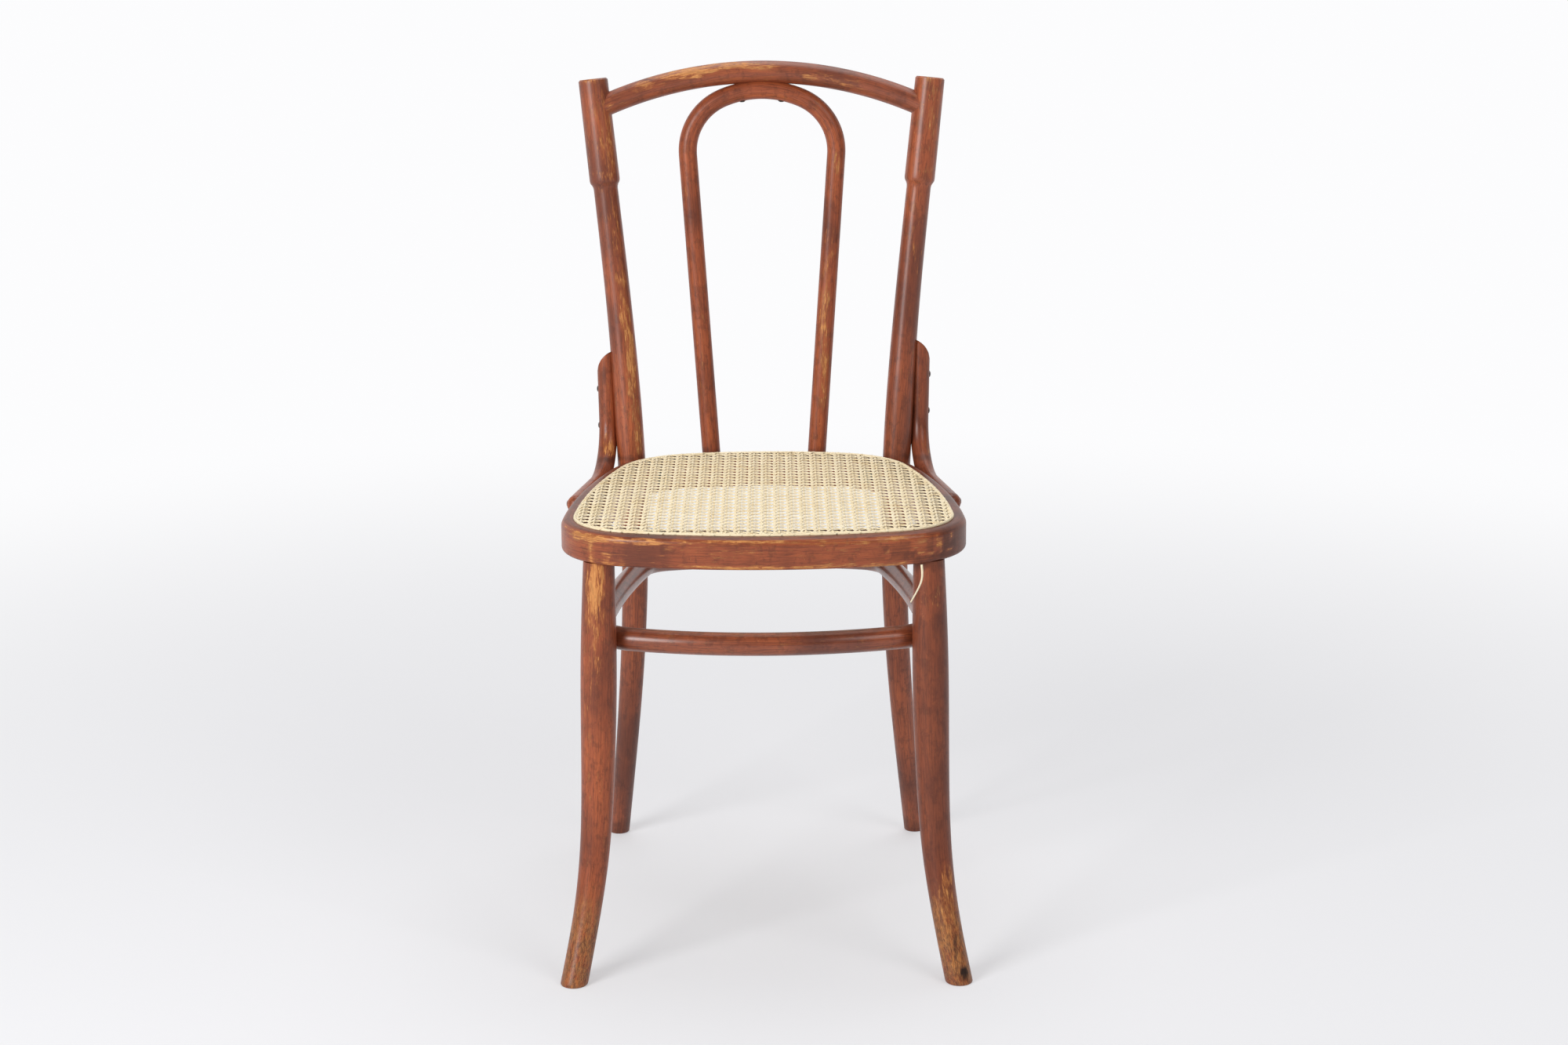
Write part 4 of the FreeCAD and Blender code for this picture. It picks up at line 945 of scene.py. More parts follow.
@dataclass
class LegHoop(WoodenPiece):
    """The round hoop inside the legs."""

    diameter: float = 23.5
    height: float = 341.0
    sides: int = 36

    def rings(self) -> tuple[list[Ring], bool]:
        """Rings round the hoop."""
        outline = round_outline(self.diameter / 2, self.sides)
        height = Vector((0.0, 0.0, self.height))
        rows = HOOP_OUTLINE.points(0.0, RING_SPACING)
        return [Ring(place + height, out, UP, outline, along) for place, out, along in rows], True


@dataclass
class FrontLeg(WoodenPiece):
    """A sabre leg: level circles from the foot up into the ring."""

    side: Side = Side.RIGHT
    foot_round: float = 2.2
    tenon: tuple[float, float] = (19.0, 18.0)
    stations: tuple[Station, ...] = (
        (0.0, 194.0, -230.4, 28.0), (66.0, 181.0, -211.0, 27.8), (124.0, 173.0, -198.0, 30.0),
        (200.0, 168.5, -188.0, 33.3), (320.0, 165.8, -179.0, 36.3), (426.0, 164.0, -173.0, 31.2),
    )
    levels: int = 106
    foot_steps: int = 5
    sides: int = 44

    def rings(self) -> tuple[list[Ring], bool]:
        """Level rings, with the foot's edge rounded and the tenon at the top."""
        across, back, width = station_tracks(self.stations)
        heights = [n * self.stations[-1][0] / self.levels for n in range(self.levels + 1)]
        centres = [Vector((across(height), back(height), height)) for height in heights]
        passed = travelled(centres)
        made = []
        for step in range(self.foot_steps):
            angle = 0.5 * math.pi * step / self.foot_steps
            radius = width(0.0) / 2 - self.foot_round * (1 - math.sin(angle))
            height = self.foot_round * (1 - math.cos(angle))
            made.append(self.level_ring(Vector((across(height), back(height), height)), radius, height))
        for centre, height, along in zip(centres, heights, passed):
            if height > self.foot_round:
                made.append(self.level_ring(centre, width(height) / 2, along))
        radius, length = self.tenon[0] / 2, self.tenon[1]
        for rise in (0.0, length):
            made.append(self.level_ring(centres[-1] + UP * rise, radius, passed[-1] + rise))
        return mirrored_rings(made, self.side), False

    def level_ring(self, centre: Vector, radius: float, along: float) -> Ring:
        """A round and level cross-section."""
        return Ring(centre, ACROSS, DEEP, round_outline(radius, self.sides), along)


@dataclass
class BackPost(WoodenPiece):
    """A post that is the back leg below and carries the turned head above."""

    side: Side = Side.RIGHT
    foot_round: float = 1.8
    lean: float = 8.3
    heading: float = 44.0
    stations: tuple[Station, ...] = (
        (0.0, 170.0, 233.0, 22.8), (83.0, 161.0, 205.0, 23.8), (180.0, 151.8, 181.0, 26.0),
        (320.0, 143.8, 163.5, 28.4), (455.0, 145.4, 161.7, 30.4), (600.0, 154.8, 176.5, 27.9),
        (748.0, 169.5, 191.7, 26.2),
    )
    head: tuple[tuple[float, float], ...] = (
        (0.0, 26.2), (2.2, 26.8), (4.4, 28.4), (6.2, 30.8), (8.0, 32.3), (10.0, 32.8), (112.0, 31.8),
        (116.8, 31.7), (118.5, 28.6),
    )
    levels: int = 165
    foot_steps: int = 5
    sides: int = 40

    def rings(self) -> tuple[list[Ring], bool]:
        """Rings up the post, which tilt square to the head's axis near the neck."""
        lean, heading = math.radians(self.lean), math.radians(self.heading)
        axis = Vector((
            math.sin(lean) * math.cos(heading), math.sin(lean) * math.sin(heading), math.cos(lean)
        ))
        across, back, width = station_tracks(self.stations)
        top = self.stations[-1][0]
        tilt_from = self.stations[-2][0]
        foot_turn = 0.5 * math.pi / self.foot_steps
        heights = [self.foot_round * (1 - math.cos(foot_turn * n)) for n in range(self.foot_steps)]
        shaft = top - self.foot_round
        heights += [self.foot_round + shaft * n / self.levels for n in range(self.levels + 1)]
        centres = [Vector((across(height), back(height), height)) for height in heights]
        passed = travelled(centres)
        made = []
        for centre, height, along in zip(centres, heights, passed):
            part = max(0.0, (height - tilt_from) / (top - tilt_from))
            up = UP.lerp(axis, part * part * (3 - 2 * part)).normalized()
            sideways = (ACROSS - up * ACROSS.dot(up)).normalized()
            radius = width(height) / 2
            if height < self.foot_round:
                gone = 1.0 - height / self.foot_round
                radius -= self.foot_round * (1.0 - math.sqrt(max(0.0, 1.0 - gone * gone)))
            outline = round_outline(radius, self.sides)
            made.append(Ring(centre, sideways, up.cross(sideways), outline, along))
        return mirrored_rings(made + self.head_rings(made[-1], axis), self.side), False

    def head_rings(self, neck: Ring, axis: Vector) -> list[Ring]:
        """Rings up the turned head.

        Args:
            neck: The last ring of the post below it.
            axis: The head's direction.

        Returns:
            The head's rings, the last one at its top.
        """
        made = []
        for (low, low_width), (high, high_width) in zip(self.head, self.head[1:]):
            steps = max(1, round((high - low) / RING_SPACING))
            for step in range(1, steps + 1):
                part = step / steps
                rise = low + (high - low) * part
                outline = round_outline((low_width + (high_width - low_width) * part) / 2, self.sides)
                made.append(
                    Ring(neck.centre + axis * rise, neck.across, neck.deep, outline, neck.along + rise)
                )
        return made


@dataclass
class TopRail(WoodenPiece):
    """The arched rail, bowed back, let into the heads at both ends."""

    diameter: float = 24.0
    height: float = 870.8
    depth: float = 217.0
    half_span: float = 163.5
    rise: float = 31.3
    bow: float = 16.0
    tenon: float = 11.0
    steps: int = 100
    sides: int = 40

    def rings(self) -> tuple[list[Ring], bool]:
        """Rings along the arc, from the tenon in one head to the tenon in the other."""
        sagitta = math.hypot(self.rise, self.bow)
        radius = (self.half_span**2 + sagitta**2) / (2 * sagitta)
        reach = math.asin((self.half_span + self.tenon) / radius)
        down = Vector((0.0, -self.bow, -self.rise)).normalized()
        centre = Vector((0.0, self.depth, self.height)) + down * radius
        outline = round_outline(self.diameter / 2, self.sides)
        made = []
        for n in range(self.steps + 1):
            angle = -reach + 2 * reach * n / self.steps
            outward = ACROSS * math.sin(angle) - down * math.cos(angle)
            along = radius * (angle + reach)
            made.append(Ring(centre + outward * radius, outward, ACROSS.cross(-down), outline, along))
        return made, False


@dataclass
class BackLoop(WoodenPiece):
    """The inverted U under the rail, its feet behind the seat ring."""

    diameter: float = 19.9
    crown: tuple[float, float] = (217.0, 870.8)
    under_rail: float = 19.35
    foot: tuple[float, float, float] = (56.5, 189.0, 429.0)
    top_radius: float = 110.0
    shoulder_radius: float = 62.0
    splay: float = 3.9
    foot_round: float = 4.0
    arc_gap: float = 3.5
    sides: int = 36

    @property
    def lean(self) -> float:
        """How far the loop's plane leans back, in radians."""
        return math.atan((self.crown[0] - self.foot[1]) / (self.crown[1] - self.foot[2]))

    def flat_path(self) -> list[tuple[Vector, float]]:
        """The centre line in its own plane, from the right foot over to the left foot.

        Returns:
            Each point from the crown of the rail, and the direction of its outer side in radians.
        """
        splay = math.radians(self.splay)
        foot = Vector((self.foot[0], -(self.crown[1] - self.foot[2]) / math.cos(self.lean)))
        outward = Vector((math.cos(splay), -math.sin(splay)))
        upward = Vector((math.sin(splay), math.cos(splay)))
        top = Vector((0.0, -self.under_rail - self.top_radius))
        inside = foot - outward * self.shoulder_radius
        offset = (top - inside).dot(outward)
        rise = (top - inside).dot(upward) + math.sqrt(
            (self.top_radius - self.shoulder_radius) ** 2 - offset**2
        )
        shoulder = inside + upward * rise
        turned = math.atan2((shoulder - top).y, (shoulder - top).x)
        side_end = shoulder + outward * self.shoulder_radius
        steps = round((side_end - foot).length / RING_SPACING)
        right = [(foot.lerp(side_end, n / steps), -splay) for n in range(steps)]
        for centre, radius, start, end in (
            (shoulder, self.shoulder_radius, -splay, turned), (top, self.top_radius, turned, math.pi / 2)
        ):
            steps = max(3, round(radius * (end - start) / self.arc_gap))
            points = steps + 1 if centre is top else steps
            for n in range(points):
                angle = start + (end - start) * n / steps
                right.append((centre + Vector((math.cos(angle), math.sin(angle))) * radius, angle))
        left = [(Vector((-place.x, place.y)), math.pi - angle) for place, angle in reversed(right[:-1])]
        return right + left

    def rings(self) -> tuple[list[Ring], bool]:
        """Rings along the loop, with roundings in place of the last two at each foot."""
        up = Vector((0.0, math.sin(self.lean), math.cos(self.lean)))
        base = Vector((0.0, *self.crown))
        outline = round_outline(self.diameter / 2, self.sides)
        path = self.flat_path()
        centres = [base + ACROSS * place.x + up * place.y for place, _ in path]
        made = []
        for centre, (_, angle), along in zip(centres, path, travelled(centres)):
            outward = ACROSS * math.cos(angle) + up * math.sin(angle)
            made.append(Ring(centre, outward, up.cross(ACROSS), outline, along))
        start = (centres[0] - centres[1]).normalized()
        end = (centres[-1] - centres[-2]).normalized()
        first = softened_end(made[0], start, self.foot_round)[::-1]
        last = softened_end(made[-1], end, self.foot_round)
        return first + made[2:-2] + last, False


@dataclass
class SideBracket(WoodenPiece):
    """The bent bracket between the post and the side of the seat ring."""

    side: Side = Side.RIGHT
    diameter: float = 20.0
    corner: tuple[float, float, float] = (169.3, 168.0, 438.5)
    heading: float = 10.3
    tilt: float = 2.0
    lean: float = 4.2
    bend: float = 65.0
    top_right: float = 586.0
    top_left: float = 575.0
    reach: float = 164.0
    end_round: float = 8.5
    tip_radius: float = 30.0
    bend_steps: int = 20
    tip_gap: float = 2.0
    sides: int = 36

    @property
    def height(self) -> float:
        """How far the tip stands above the corner."""
        return (self.top_right if self.side is Side.RIGHT else self.top_left) - self.corner[2]

    def flat_path(self) -> list[tuple[Vector, float]]:
        """The centre line in its own plane, from the front end round the bend to the tip.

        Returns:
            Each point from the corner, and the direction of its outer side in radians.
        """
        lean = math.radians(self.lean)
        forward = self.bend * (1 - math.sin(lean)) / math.cos(lean)
        straight = self.reach - forward
        steps = round(straight / RING_SPACING)
        made = [
            (Vector((-self.reach + straight * n / steps, 0.0)), -math.pi / 2) for n in range(steps)
        ]
        centre = Vector((-forward, self.bend))
        for n in range(self.bend_steps + 1):
            angle = -math.pi / 2 + (math.pi / 2 - lean) * n / self.bend_steps
            made.append((centre + Vector((math.cos(angle), math.sin(angle))) * self.bend, angle))
        bend_end = made[-1][0]
        tip = Vector((self.height * math.tan(lean), self.height))
        steps = round((tip - bend_end).length / self.tip_gap)
        return made + [(bend_end.lerp(tip, n / steps), -lean) for n in range(1, steps + 1)]

    def rings(self) -> tuple[list[Ring], bool]:
        """Rings from the front end round the bend up to the tip, with a rounding at the front end."""
        turn = Matrix.Rotation(math.radians(self.heading), 3, "Z")
        turn = turn @ Matrix.Rotation(math.radians(self.tilt), 3, "Y")
        path = self.flat_path()
        centres = [Vector(self.corner) + turn @ Vector((0.0, place.x, place.y)) for place, _ in path]
        made = []
        for centre, (place, angle), along in zip(centres, path, travelled(centres)):
            outward = turn @ Vector((0.0, math.cos(angle), math.sin(angle)))
            made.append(Ring(centre, outward, turn @ ACROSS, self._outline(place.y), along))
        first = softened_end(made[0], turn @ -DEEP, self.end_round, 8)[::-1]
        made = first + [ring for ring in made if ring.along > self.end_round]
        return mirrored_rings(made, self.side), False

    def _outline(self, rise: float) -> Outline:
        """A circle, its outer side cut back where the tip rounds over towards the post."""
        outline = round_outline(self.diameter / 2, self.sides)
        above = rise - (self.height - self.tip_radius)
        if above <= 0.0:
            return outline
        inward = self.tip_radius - math.sqrt(max(0.0, self.tip_radius**2 - above**2))
        limit = self.diameter / 2 - inward
        return [(u, min(v, limit)) for u, v in outline]


# Cane


@dataclass(frozen=True)
class StrandFamily:
    """One of the six sets of parallel strands.

    Its heading is in degrees, its phase axis is the one along which the strands rise and fall, and its
    sign says which of two sets is on top.
    """

    heading: float
    offset: float
    spacing: float
    phase_axis: int
    sign: int
    paired: bool


@dataclass
class CaneSeat:
    """The six-way weave, its binding, the strand loops under the ring and the loose end."""

    pitch: float = 13.2
    pair_gap: float = 3.9
    strand_width: float = 2.3
    strand_thickness: float = 0.8
    weave_rise: float = 0.42
    height: float = 459.3
    edge_inset: float = 14.2
    strand_inset: float = 15.6
    binding_width: float = 3.6
    binding_base: float = 458.1
    binding_thickness: float = 2.1
    ripple: float = 0.08
    ripple_rate: float = 0.9
    tie_half_width: float = 0.8
    tie_thickness: float = 0.2
    stitch_thickness: float = 0.6
    ring_bottom: float = 426.0
    widest_reach: float = 330.0
    wall_half_height: float = 20.0
    resample: float = 0.19
    seed_step: float = 31.0
    loose_start: tuple[float, float] = (155.3, -203.0)
    loose_bends: tuple[tuple[float, float, float], ...] = (
        (0.6, -1.0, -9.0), (-1.6, -1.8, -20.0), (-10.8, -3.0, -37.5)
    )
    loose_twist: tuple[float, float] = (12.0, 30.0)
    loose_steps: int = 30
    families: tuple[StrandFamily, ...] = field(init=False)

    def __post_init__(self) -> None:
        """Sets the six families out from the pitch."""
        half = self.pair_gap / 2
        diagonal = self.pitch / math.sqrt(2.0)
        self.families = (
            # Pairs from front to back
            StrandFamily(90.0, half, self.pitch, 1, 1, True),
            StrandFamily(90.0, -half, self.pitch, 1, -1, True),
            # Pairs from side to side
            StrandFamily(0.0, -half, self.pitch, 0, -1, True),
            StrandFamily(0.0, half, self.pitch, 0, 1, True),
            # Diagonals
            StrandFamily(45.0, diagonal / 2, diagonal, 0, 1, False),
            StrandFamily(-45.0, diagonal / 2, diagonal, 0, -1, False),
        )

    def wall(self, name: str) -> bpy.types.Object:
        """An upright wall on the line where the strands go down into the ring."""
        rows = SEAT_OUTLINE.points(self.strand_inset, 3.0)
        data = bpy.data.meshes.new(name)
        low, high = self.height - self.wall_half_height, self.height + self.wall_half_height
        verts = [Vector((place.x, place.y, z)) * MM for z in (low, high) for place, _, _ in rows]
        count = len(rows)
        faces = [(n, (n + 1) % count, (n + 1) % count + count, n + count) for n in range(count)]
        data.from_pydata(verts, [], faces)
        return linked(name, data)

    def weave_tree(
        self, families: Sequence[StrandFamily], material: bpy.types.Material
    ) -> bpy.types.NodeTree:
        """Builds the tree that lays families of strands inside a wall and weaves them by height.

        Args:
            families: The sets of parallel strands.
            material: The strands' finish.

        Returns:
            A geometry node group with named inputs for its sizes, in metres.
        """
        tree = bpy.data.node_groups.new("cane_weave", "GeometryNodeTree")
        tree.is_modifier = True
        face = tree.interface
        face.new_socket("Wall", in_out="INPUT", socket_type="NodeSocketGeometry")
        for name in self.sizes():
            face.new_socket(name, in_out="INPUT", socket_type="NodeSocketFloat")
        face.new_socket("Cane", in_out="OUTPUT", socket_type="NodeSocketGeometry")
        bench = Bench(tree)
        entry = bench.node("NodeGroupInput")
        sizes = {name: bench.signal(entry, name) for name in self.sizes()}
        section = bench.node(
            "GeometryNodeCurvePrimitiveCircle", {"mode": "RADIUS"}, Resolution=6, Radius=0.5
        )
        scale = bench.node("ShaderNodeCombineXYZ", X=sizes["Width"], Y=sizes["Thickness"], Z=1.0)
        profile = bench.node("GeometryNodeTransform", Geometry=section.outputs[0], Scale=scale.outputs[0])
        join = bench.node("GeometryNodeJoinGeometry")
        for place, family in enumerate(families):
            strands = self.lay_family(bench, entry, family, place)
            shaped = self.raise_strands(bench, strands, sizes, family)
            skin = bench.node(
                "GeometryNodeCurveToMesh", Curve=shaped.outputs[0], Profile_Curve=profile.outputs[0],
                Fill_Caps=True,
            )
            bench.feed(join, "in0", skin.outputs[0])
        realized = bench.node("GeometryNodeRealizeInstances", Geometry=join.outputs[0])
        smooth = bench.node("GeometryNodeSetShadeSmooth", Geometry=realized.outputs[0])
        dressed = bench.node("GeometryNodeSetMaterial", Geometry=smooth.outputs[0], Material=material)
        bench.node("NodeGroupOutput", in0=dressed.outputs[0])
        return tree

    def sizes(self) -> dict[str, float]:
        """The tree's named sizes, in metres."""
        return {
            "Pitch": self.pitch * MM, "Pair Gap": self.pair_gap * MM, "Width": self.strand_width * MM,
            "Thickness": self.strand_thickness * MM, "Rise": self.weave_rise * MM,
            "Height": self.height * MM,
        }

    def lay_family(
        self, bench: Bench, entry: bpy.types.Node, family: StrandFamily, place: int
    ) -> bpy.types.Node:
        """Lays one family's strands as level lines that end at the wall.

        Args:
            bench: The tree.
            entry: The group's input node.
            family: The set of strands.
            place: The family's number, for its random seed.

        Returns:
            A node with the realized lines.
        """
        count = 2 * int(self.widest_reach / family.spacing) + 1
        angle = math.radians(family.heading)
        along = Vector((math.cos(angle), math.sin(angle), 0.0))
        across = Vector((-math.sin(angle), math.cos(angle), 0.0))
        first = across * ((-(count // 2)) * family.spacing + family.offset) * MM
        first.z = self.height * MM
        line = bench.node(
            "GeometryNodeMeshLine", {"mode": "OFFSET"}, Count=count, Start_Location=first,
            Offset=across * family.spacing * MM,
        )
        points = bench.node("GeometryNodeMeshToPoints", Mesh=line.outputs[0])
        here = bench.signal(bench.node("GeometryNodeInputPosition"))
        outside = 0.6
        ends = []
        for sign in (-1.0, 1.0):
            start = bench.vector_maths("ADD", here, along * (sign * outside))
            ends.append(bench.node(
                "GeometryNodeRaycast", in0=entry.outputs["Wall"], Source_Position=start,
                Ray_Direction=along * -sign, Ray_Length=2.0,
            ))
        first_end, last_end = (end.outputs["Hit Position"] for end in ends)
        index = bench.signal(bench.node("GeometryNodeInputIndex"))
        number = index + self.seed_step * place
        seed = bench.node("ShaderNodeTexWhiteNoise", {"noise_dimensions": "1D"}, W=number)
        named = bench.node(
            "GeometryNodeStoreNamedAttribute", {"data_type": "FLOAT", "domain": "POINT"},
            Geometry=points.outputs[0], Name=STRAND_ATTRIBUTE, Value=seed.outputs["Value"],
        )
        missed = 1.0 - bench.signal(ends[0], "Is Hit")
        kept = bench.node(
            "GeometryNodeDeleteGeometry", {"domain": "POINT"}, Geometry=named.outputs[0], Selection=missed
        )
        wide = bench.node(
            "ShaderNodeVectorMath", {"operation": "DISTANCE"}, in0=first_end, in1=last_end
        )
        stored = bench.node(
            "GeometryNodeStoreNamedAttribute", {"data_type": "FLOAT", "domain": "POINT"},
            Geometry=kept.outputs[0], Name="span", Value=wide.outputs["Value"],
        )
        moved = bench.node("GeometryNodeSetPosition", Geometry=stored.outputs[0], Position=first_end)
        span = bench.node("GeometryNodeInputNamedAttribute", {"data_type": "FLOAT"}, Name="span")
        size = bench.node("ShaderNodeCombineXYZ", X=span.outputs[0], Y=1.0, Z=1.0)
        unit = bench.node(
            "GeometryNodeCurvePrimitiveLine", {"mode": "POINTS"}, Start=(0.0, 0.0, 0.0), End=(1.0, 0.0, 0.0)
        )
        strands = bench.node(
            "GeometryNodeInstanceOnPoints", Points=moved.outputs[0], Instance=unit.outputs[0],
            Rotation=(0.0, 0.0, angle), Scale=size.outputs[0],
        )
        return bench.node("GeometryNodeRealizeInstances", Geometry=strands.outputs[0])

    def raise_strands(
        self, bench: Bench, strands: bpy.types.Node, sizes: dict[str, Signal], family: StrandFamily
    ) -> bpy.types.Node:
        """Lifts and drops the strands so that they pass over and under each other.

        A paired strand peaks beside each pair that it crosses and falls back to level between them, and a
        diagonal one rises and falls as a wave.

        Args:
            bench: The tree.
            strands: The node with the level lines.
            sizes: The named sizes.
            family: The set of strands.

        Returns:
            A node with the woven lines, their flat side up.
        """
        divided = bench.node(
            "GeometryNodeResampleCurve", {"mode": "LENGTH"}, Curve=strands.outputs[0],
            Length=sizes["Pitch"] * self.resample,
        )
        here = bench.node("GeometryNodeInputPosition")
        split = bench.node("ShaderNodeSeparateXYZ", Vector=here.outputs[0])
        place = bench.signal(split, family.phase_axis)
        if family.paired:
            turns = bench.maths("ROUND", place / sizes["Pitch"])
            aside = (place - turns * sizes["Pitch"]) / (sizes["Pair Gap"] * 0.5)
            lift = aside * bench.maths("EXPONENT", 0.5 - aside * aside * 0.5)
        else:
            lift = bench.maths("COSINE", place / sizes["Pitch"] * (2 * math.pi)) * 2.0
        lifted = lift * sizes["Rise"] * float(family.sign)
        rise = bench.node("ShaderNodeCombineXYZ", X=0.0, Y=0.0, Z=lifted)
        woven = bench.node(
            "GeometryNodeSetPosition", Geometry=divided.outputs[0], Offset=rise.outputs[0]
        )
        return bench.node("GeometryNodeSetCurveNormal", {"mode": "Z_UP"}, Curve=woven.outputs[0])

    def weave(
        self, name: str, families: Sequence[StrandFamily], material: bpy.types.Material
    ) -> bpy.types.Object:
        """Weaves families into one plain mesh."""
        wall = self.wall(f"{name}_wall")
        modifier = wall.modifiers.new("weave", "NODES")
        modifier.node_group = self.weave_tree(families, material)
        set_inputs(modifier, self.sizes())
        return baked(wall, name)

    def build(self) -> list[bpy.types.Object]:
        """Weaves the seat and lays its trim."""
        cane = SplitCane().build()
        pairs = self.weave("cane_pairs", self.families[:4], cane)
        diagonals = self.weave("cane_diagonals", self.families[4:], cane)
        binding = self.binding(cane)
        loops = self.under_loops(cane)
        loose = self.loose_end(cane)
        for piece in (pairs, diagonals, binding, loops, loose):
            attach(piece, BODY)
        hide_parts("cane_panel")
        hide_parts("cane_binding")
        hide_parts("loose_cane_end")
        return [pairs, diagonals, binding, loops, loose]

    def binding(self, cane: bpy.types.Material) -> bpy.types.Object:
        """The flat binder over the row of holes, with the loops that tie it down."""
        rows = SEAT_OUTLINE.points(self.edge_inset, 3.0)
        half = self.binding_width / 2
        top = self.binding_thickness
        strip = [
            (half, 0.0), (half, 1.0), (half * 0.6, top * 0.9), (0.0, top),
            (-half * 0.6, top * 0.9), (-half, 1.2), (-half, 0.0),
        ]
        rings = []
        for place, out, along in rows:
            height = self.binding_base + self.ripple * math.sin(along * self.ripple_rate)
            rings.append(Ring(Vector((place.x, place.y, height)), out, UP, strip, along))
        made = BarBuilder("cane_binding_strip").skin(rings, True)
        self.number_strand(made, 0.4)
        made.data.materials.append(cane)
        total = rows[-1][2]
        count = round(total / self.pitch)
        ties = [self.placing(rows, total * n / count, self.binding_base) for n in range(count)]
        loops = scattered("cane_ties", self.tie_mesh(), ties, cane)
        return joined("cane_binding_tied", [made, loops])

    @staticmethod
    def placing(
        rows: Sequence[tuple[Vector, Vector, float]], along: float, height: float, turn: float = 0.0
    ) -> Placing:
        """A place on an outline, and the turn there.

        Args:
            rows: The outline's points, from RoundedOutline.points().
            along: The distance along it.
            height: The height of the place.
            turn: What is added to the outward direction, in radians.

        Returns:
            The nearest point of the outline at that height, and its turn about the upright.
        """
        place, out, _ = min(rows, key=lambda row: abs(row[2] - along))
        return Vector((place.x, place.y, height)), (0.0, 0.0, math.atan2(out.y, out.x) + turn)

    @staticmethod
    def short_strand(
        name: str, path: Outline, half_width: float, lift: float, taper: float
    ) -> bpy.types.Mesh:
        """A short flat strand.

        Args:
            name: The mesh's name.
            path: Its underside, or with a negative lift its upper side, in X and Z.
            half_width: Half of its width there.
            lift: Its thickness, upwards or, if it is negative, downwards.
            taper: How much narrower the other side is, per millimetre of thickness.

        Returns:
            A closed mesh in metres.
        """
        verts = []
        for x, z in path:
            for rise in (0.0, lift):
                for y in (-half_width, half_width):
                    verts.append(Vector((x, y * (1.0 - abs(rise) * taper), z + rise)) * MM)
        section = (0, 1, 3, 2) if lift > 0.0 else (0, 2, 3, 1)
        faces = []
        for base in range(0, 4 * (len(path) - 1), 4):
            for i, k in zip(section, section[1:] + section[:1]):
                faces.append((base + i, base + k, base + k + 4, base + i + 4))
        last = 4 * (len(path) - 1)
        faces += [(section[0], *section[:0:-1]), tuple(last + corner for corner in section)]
        data = bpy.data.meshes.new(name)
        data.from_pydata(verts, [], faces)
        data.shade_smooth()
        return data

    def tie_mesh(self) -> bpy.types.Mesh:
        """A short strand over the binder, down at both sides."""
        half = self.binding_width / 2 + 0.05
        rise = self.binding_thickness * 0.92
        path = [
            (-half, -0.2), (-half, 1.2), (-half * 0.6, rise), (half * 0.6, rise), (half, 1.0), (half, -0.2),
        ]
        return self.short_strand("tie", path, self.tie_half_width, self.tie_thickness, 0.6)

    def under_loops(self, cane: bpy.types.Material) -> bpy.types.Object:
        """The strands that run from hole to hole under the ring."""
        rows = SEAT_OUTLINE.points(self.edge_inset, 2.0)
        total = rows[-1][2]
        count = round(total / self.pitch)
        placed = [
            self.placing(rows, total * (n + 0.5) / count, self.ring_bottom, math.pi / 2)
            for n in range(count)
        ]
        return scattered("cane_under_loops", self.stitch_mesh(total / count), placed, cane)

    def stitch_mesh(self, length: float) -> bpy.types.Mesh:
        """A strand that comes out of one hole and goes into the next, sagging a little between."""
        half = length / 2
        path = [
            (-half + 0.6, 0.8), (-half + 1.0, -0.3), (-half * 0.5, -0.75),
            (half * 0.5, -0.75), (half - 1.0, -0.3), (half - 0.6, 0.8),
        ]
        return self.short_strand("stitch", path, self.strand_width / 2, -self.stitch_thickness, 0.4)

    def loose_end(self, cane: bpy.types.Material) -> bpy.types.Object:
        """The strand end that hangs out of its hole at the right front, twisting as it falls."""
        start = Vector((*self.loose_start, self.ring_bottom + 1.0))
        bends = [Vector(bend) for bend in self.loose_bends]
        knots = [float(n) for n in range(len(bends) + 1)]
        tracks = [spline(knots, [start[k]] + [start[k] + bend[k] for bend in bends]) for k in range(3)]
        end = knots[-1]
        count = self.loose_steps
        parts = [end * n / count for n in range(count + 1)]
        centres = [Vector(track(part) for track in tracks) for part in parts]
        rings = []
        for n, (centre, part, along) in enumerate(zip(centres, parts, travelled(centres))):
            ahead = Vector(track(min(end, part + 0.05)) for track in tracks)
            behind = Vector(track(max(0.0, part - 0.05)) for track in tracks)
            direction = (ahead - behind).normalized()
            twist = math.radians(self.loose_twist[0] + self.loose_twist[1] * n / count)
            across = Vector((math.cos(twist), math.sin(twist), 0.0))
            across = (across - direction * across.dot(direction)).normalized()
            width = self.strand_width / 2 * (1.0 if n < count - 1 else 0.8)
            outline = [
                (width * math.cos(math.pi * k / 4), 0.5 * math.sin(math.pi * k / 4)) for k in range(8)
            ]
            rings.append(Ring(centre, across, direction.cross(across), outline, along))
        made = BarBuilder("cane_loose_strand").skin(rings)
        made.data.materials.append(cane)
        self.number_strand(made, 0.8)
        return made

    @staticmethod
    def number_strand(piece: bpy.types.Object, number: float) -> None:
        """Writes the strand number that the cane's colour varies by."""
        mark_points(piece.data, STRAND_ATTRIBUTE, [number] * len(piece.data.vertices))


# Geometry node helpers


def set_inputs(modifier: bpy.types.Modifier, values: dict[str, float]) -> None:
    """Sets a geometry node modifier's named inputs, by their sockets' identifiers."""
    for item in modifier.node_group.interface.items_tree:
        if item.item_type == "SOCKET" and item.in_out == "INPUT" and item.name in values:
            modifier[item.identifier] = values[item.name]


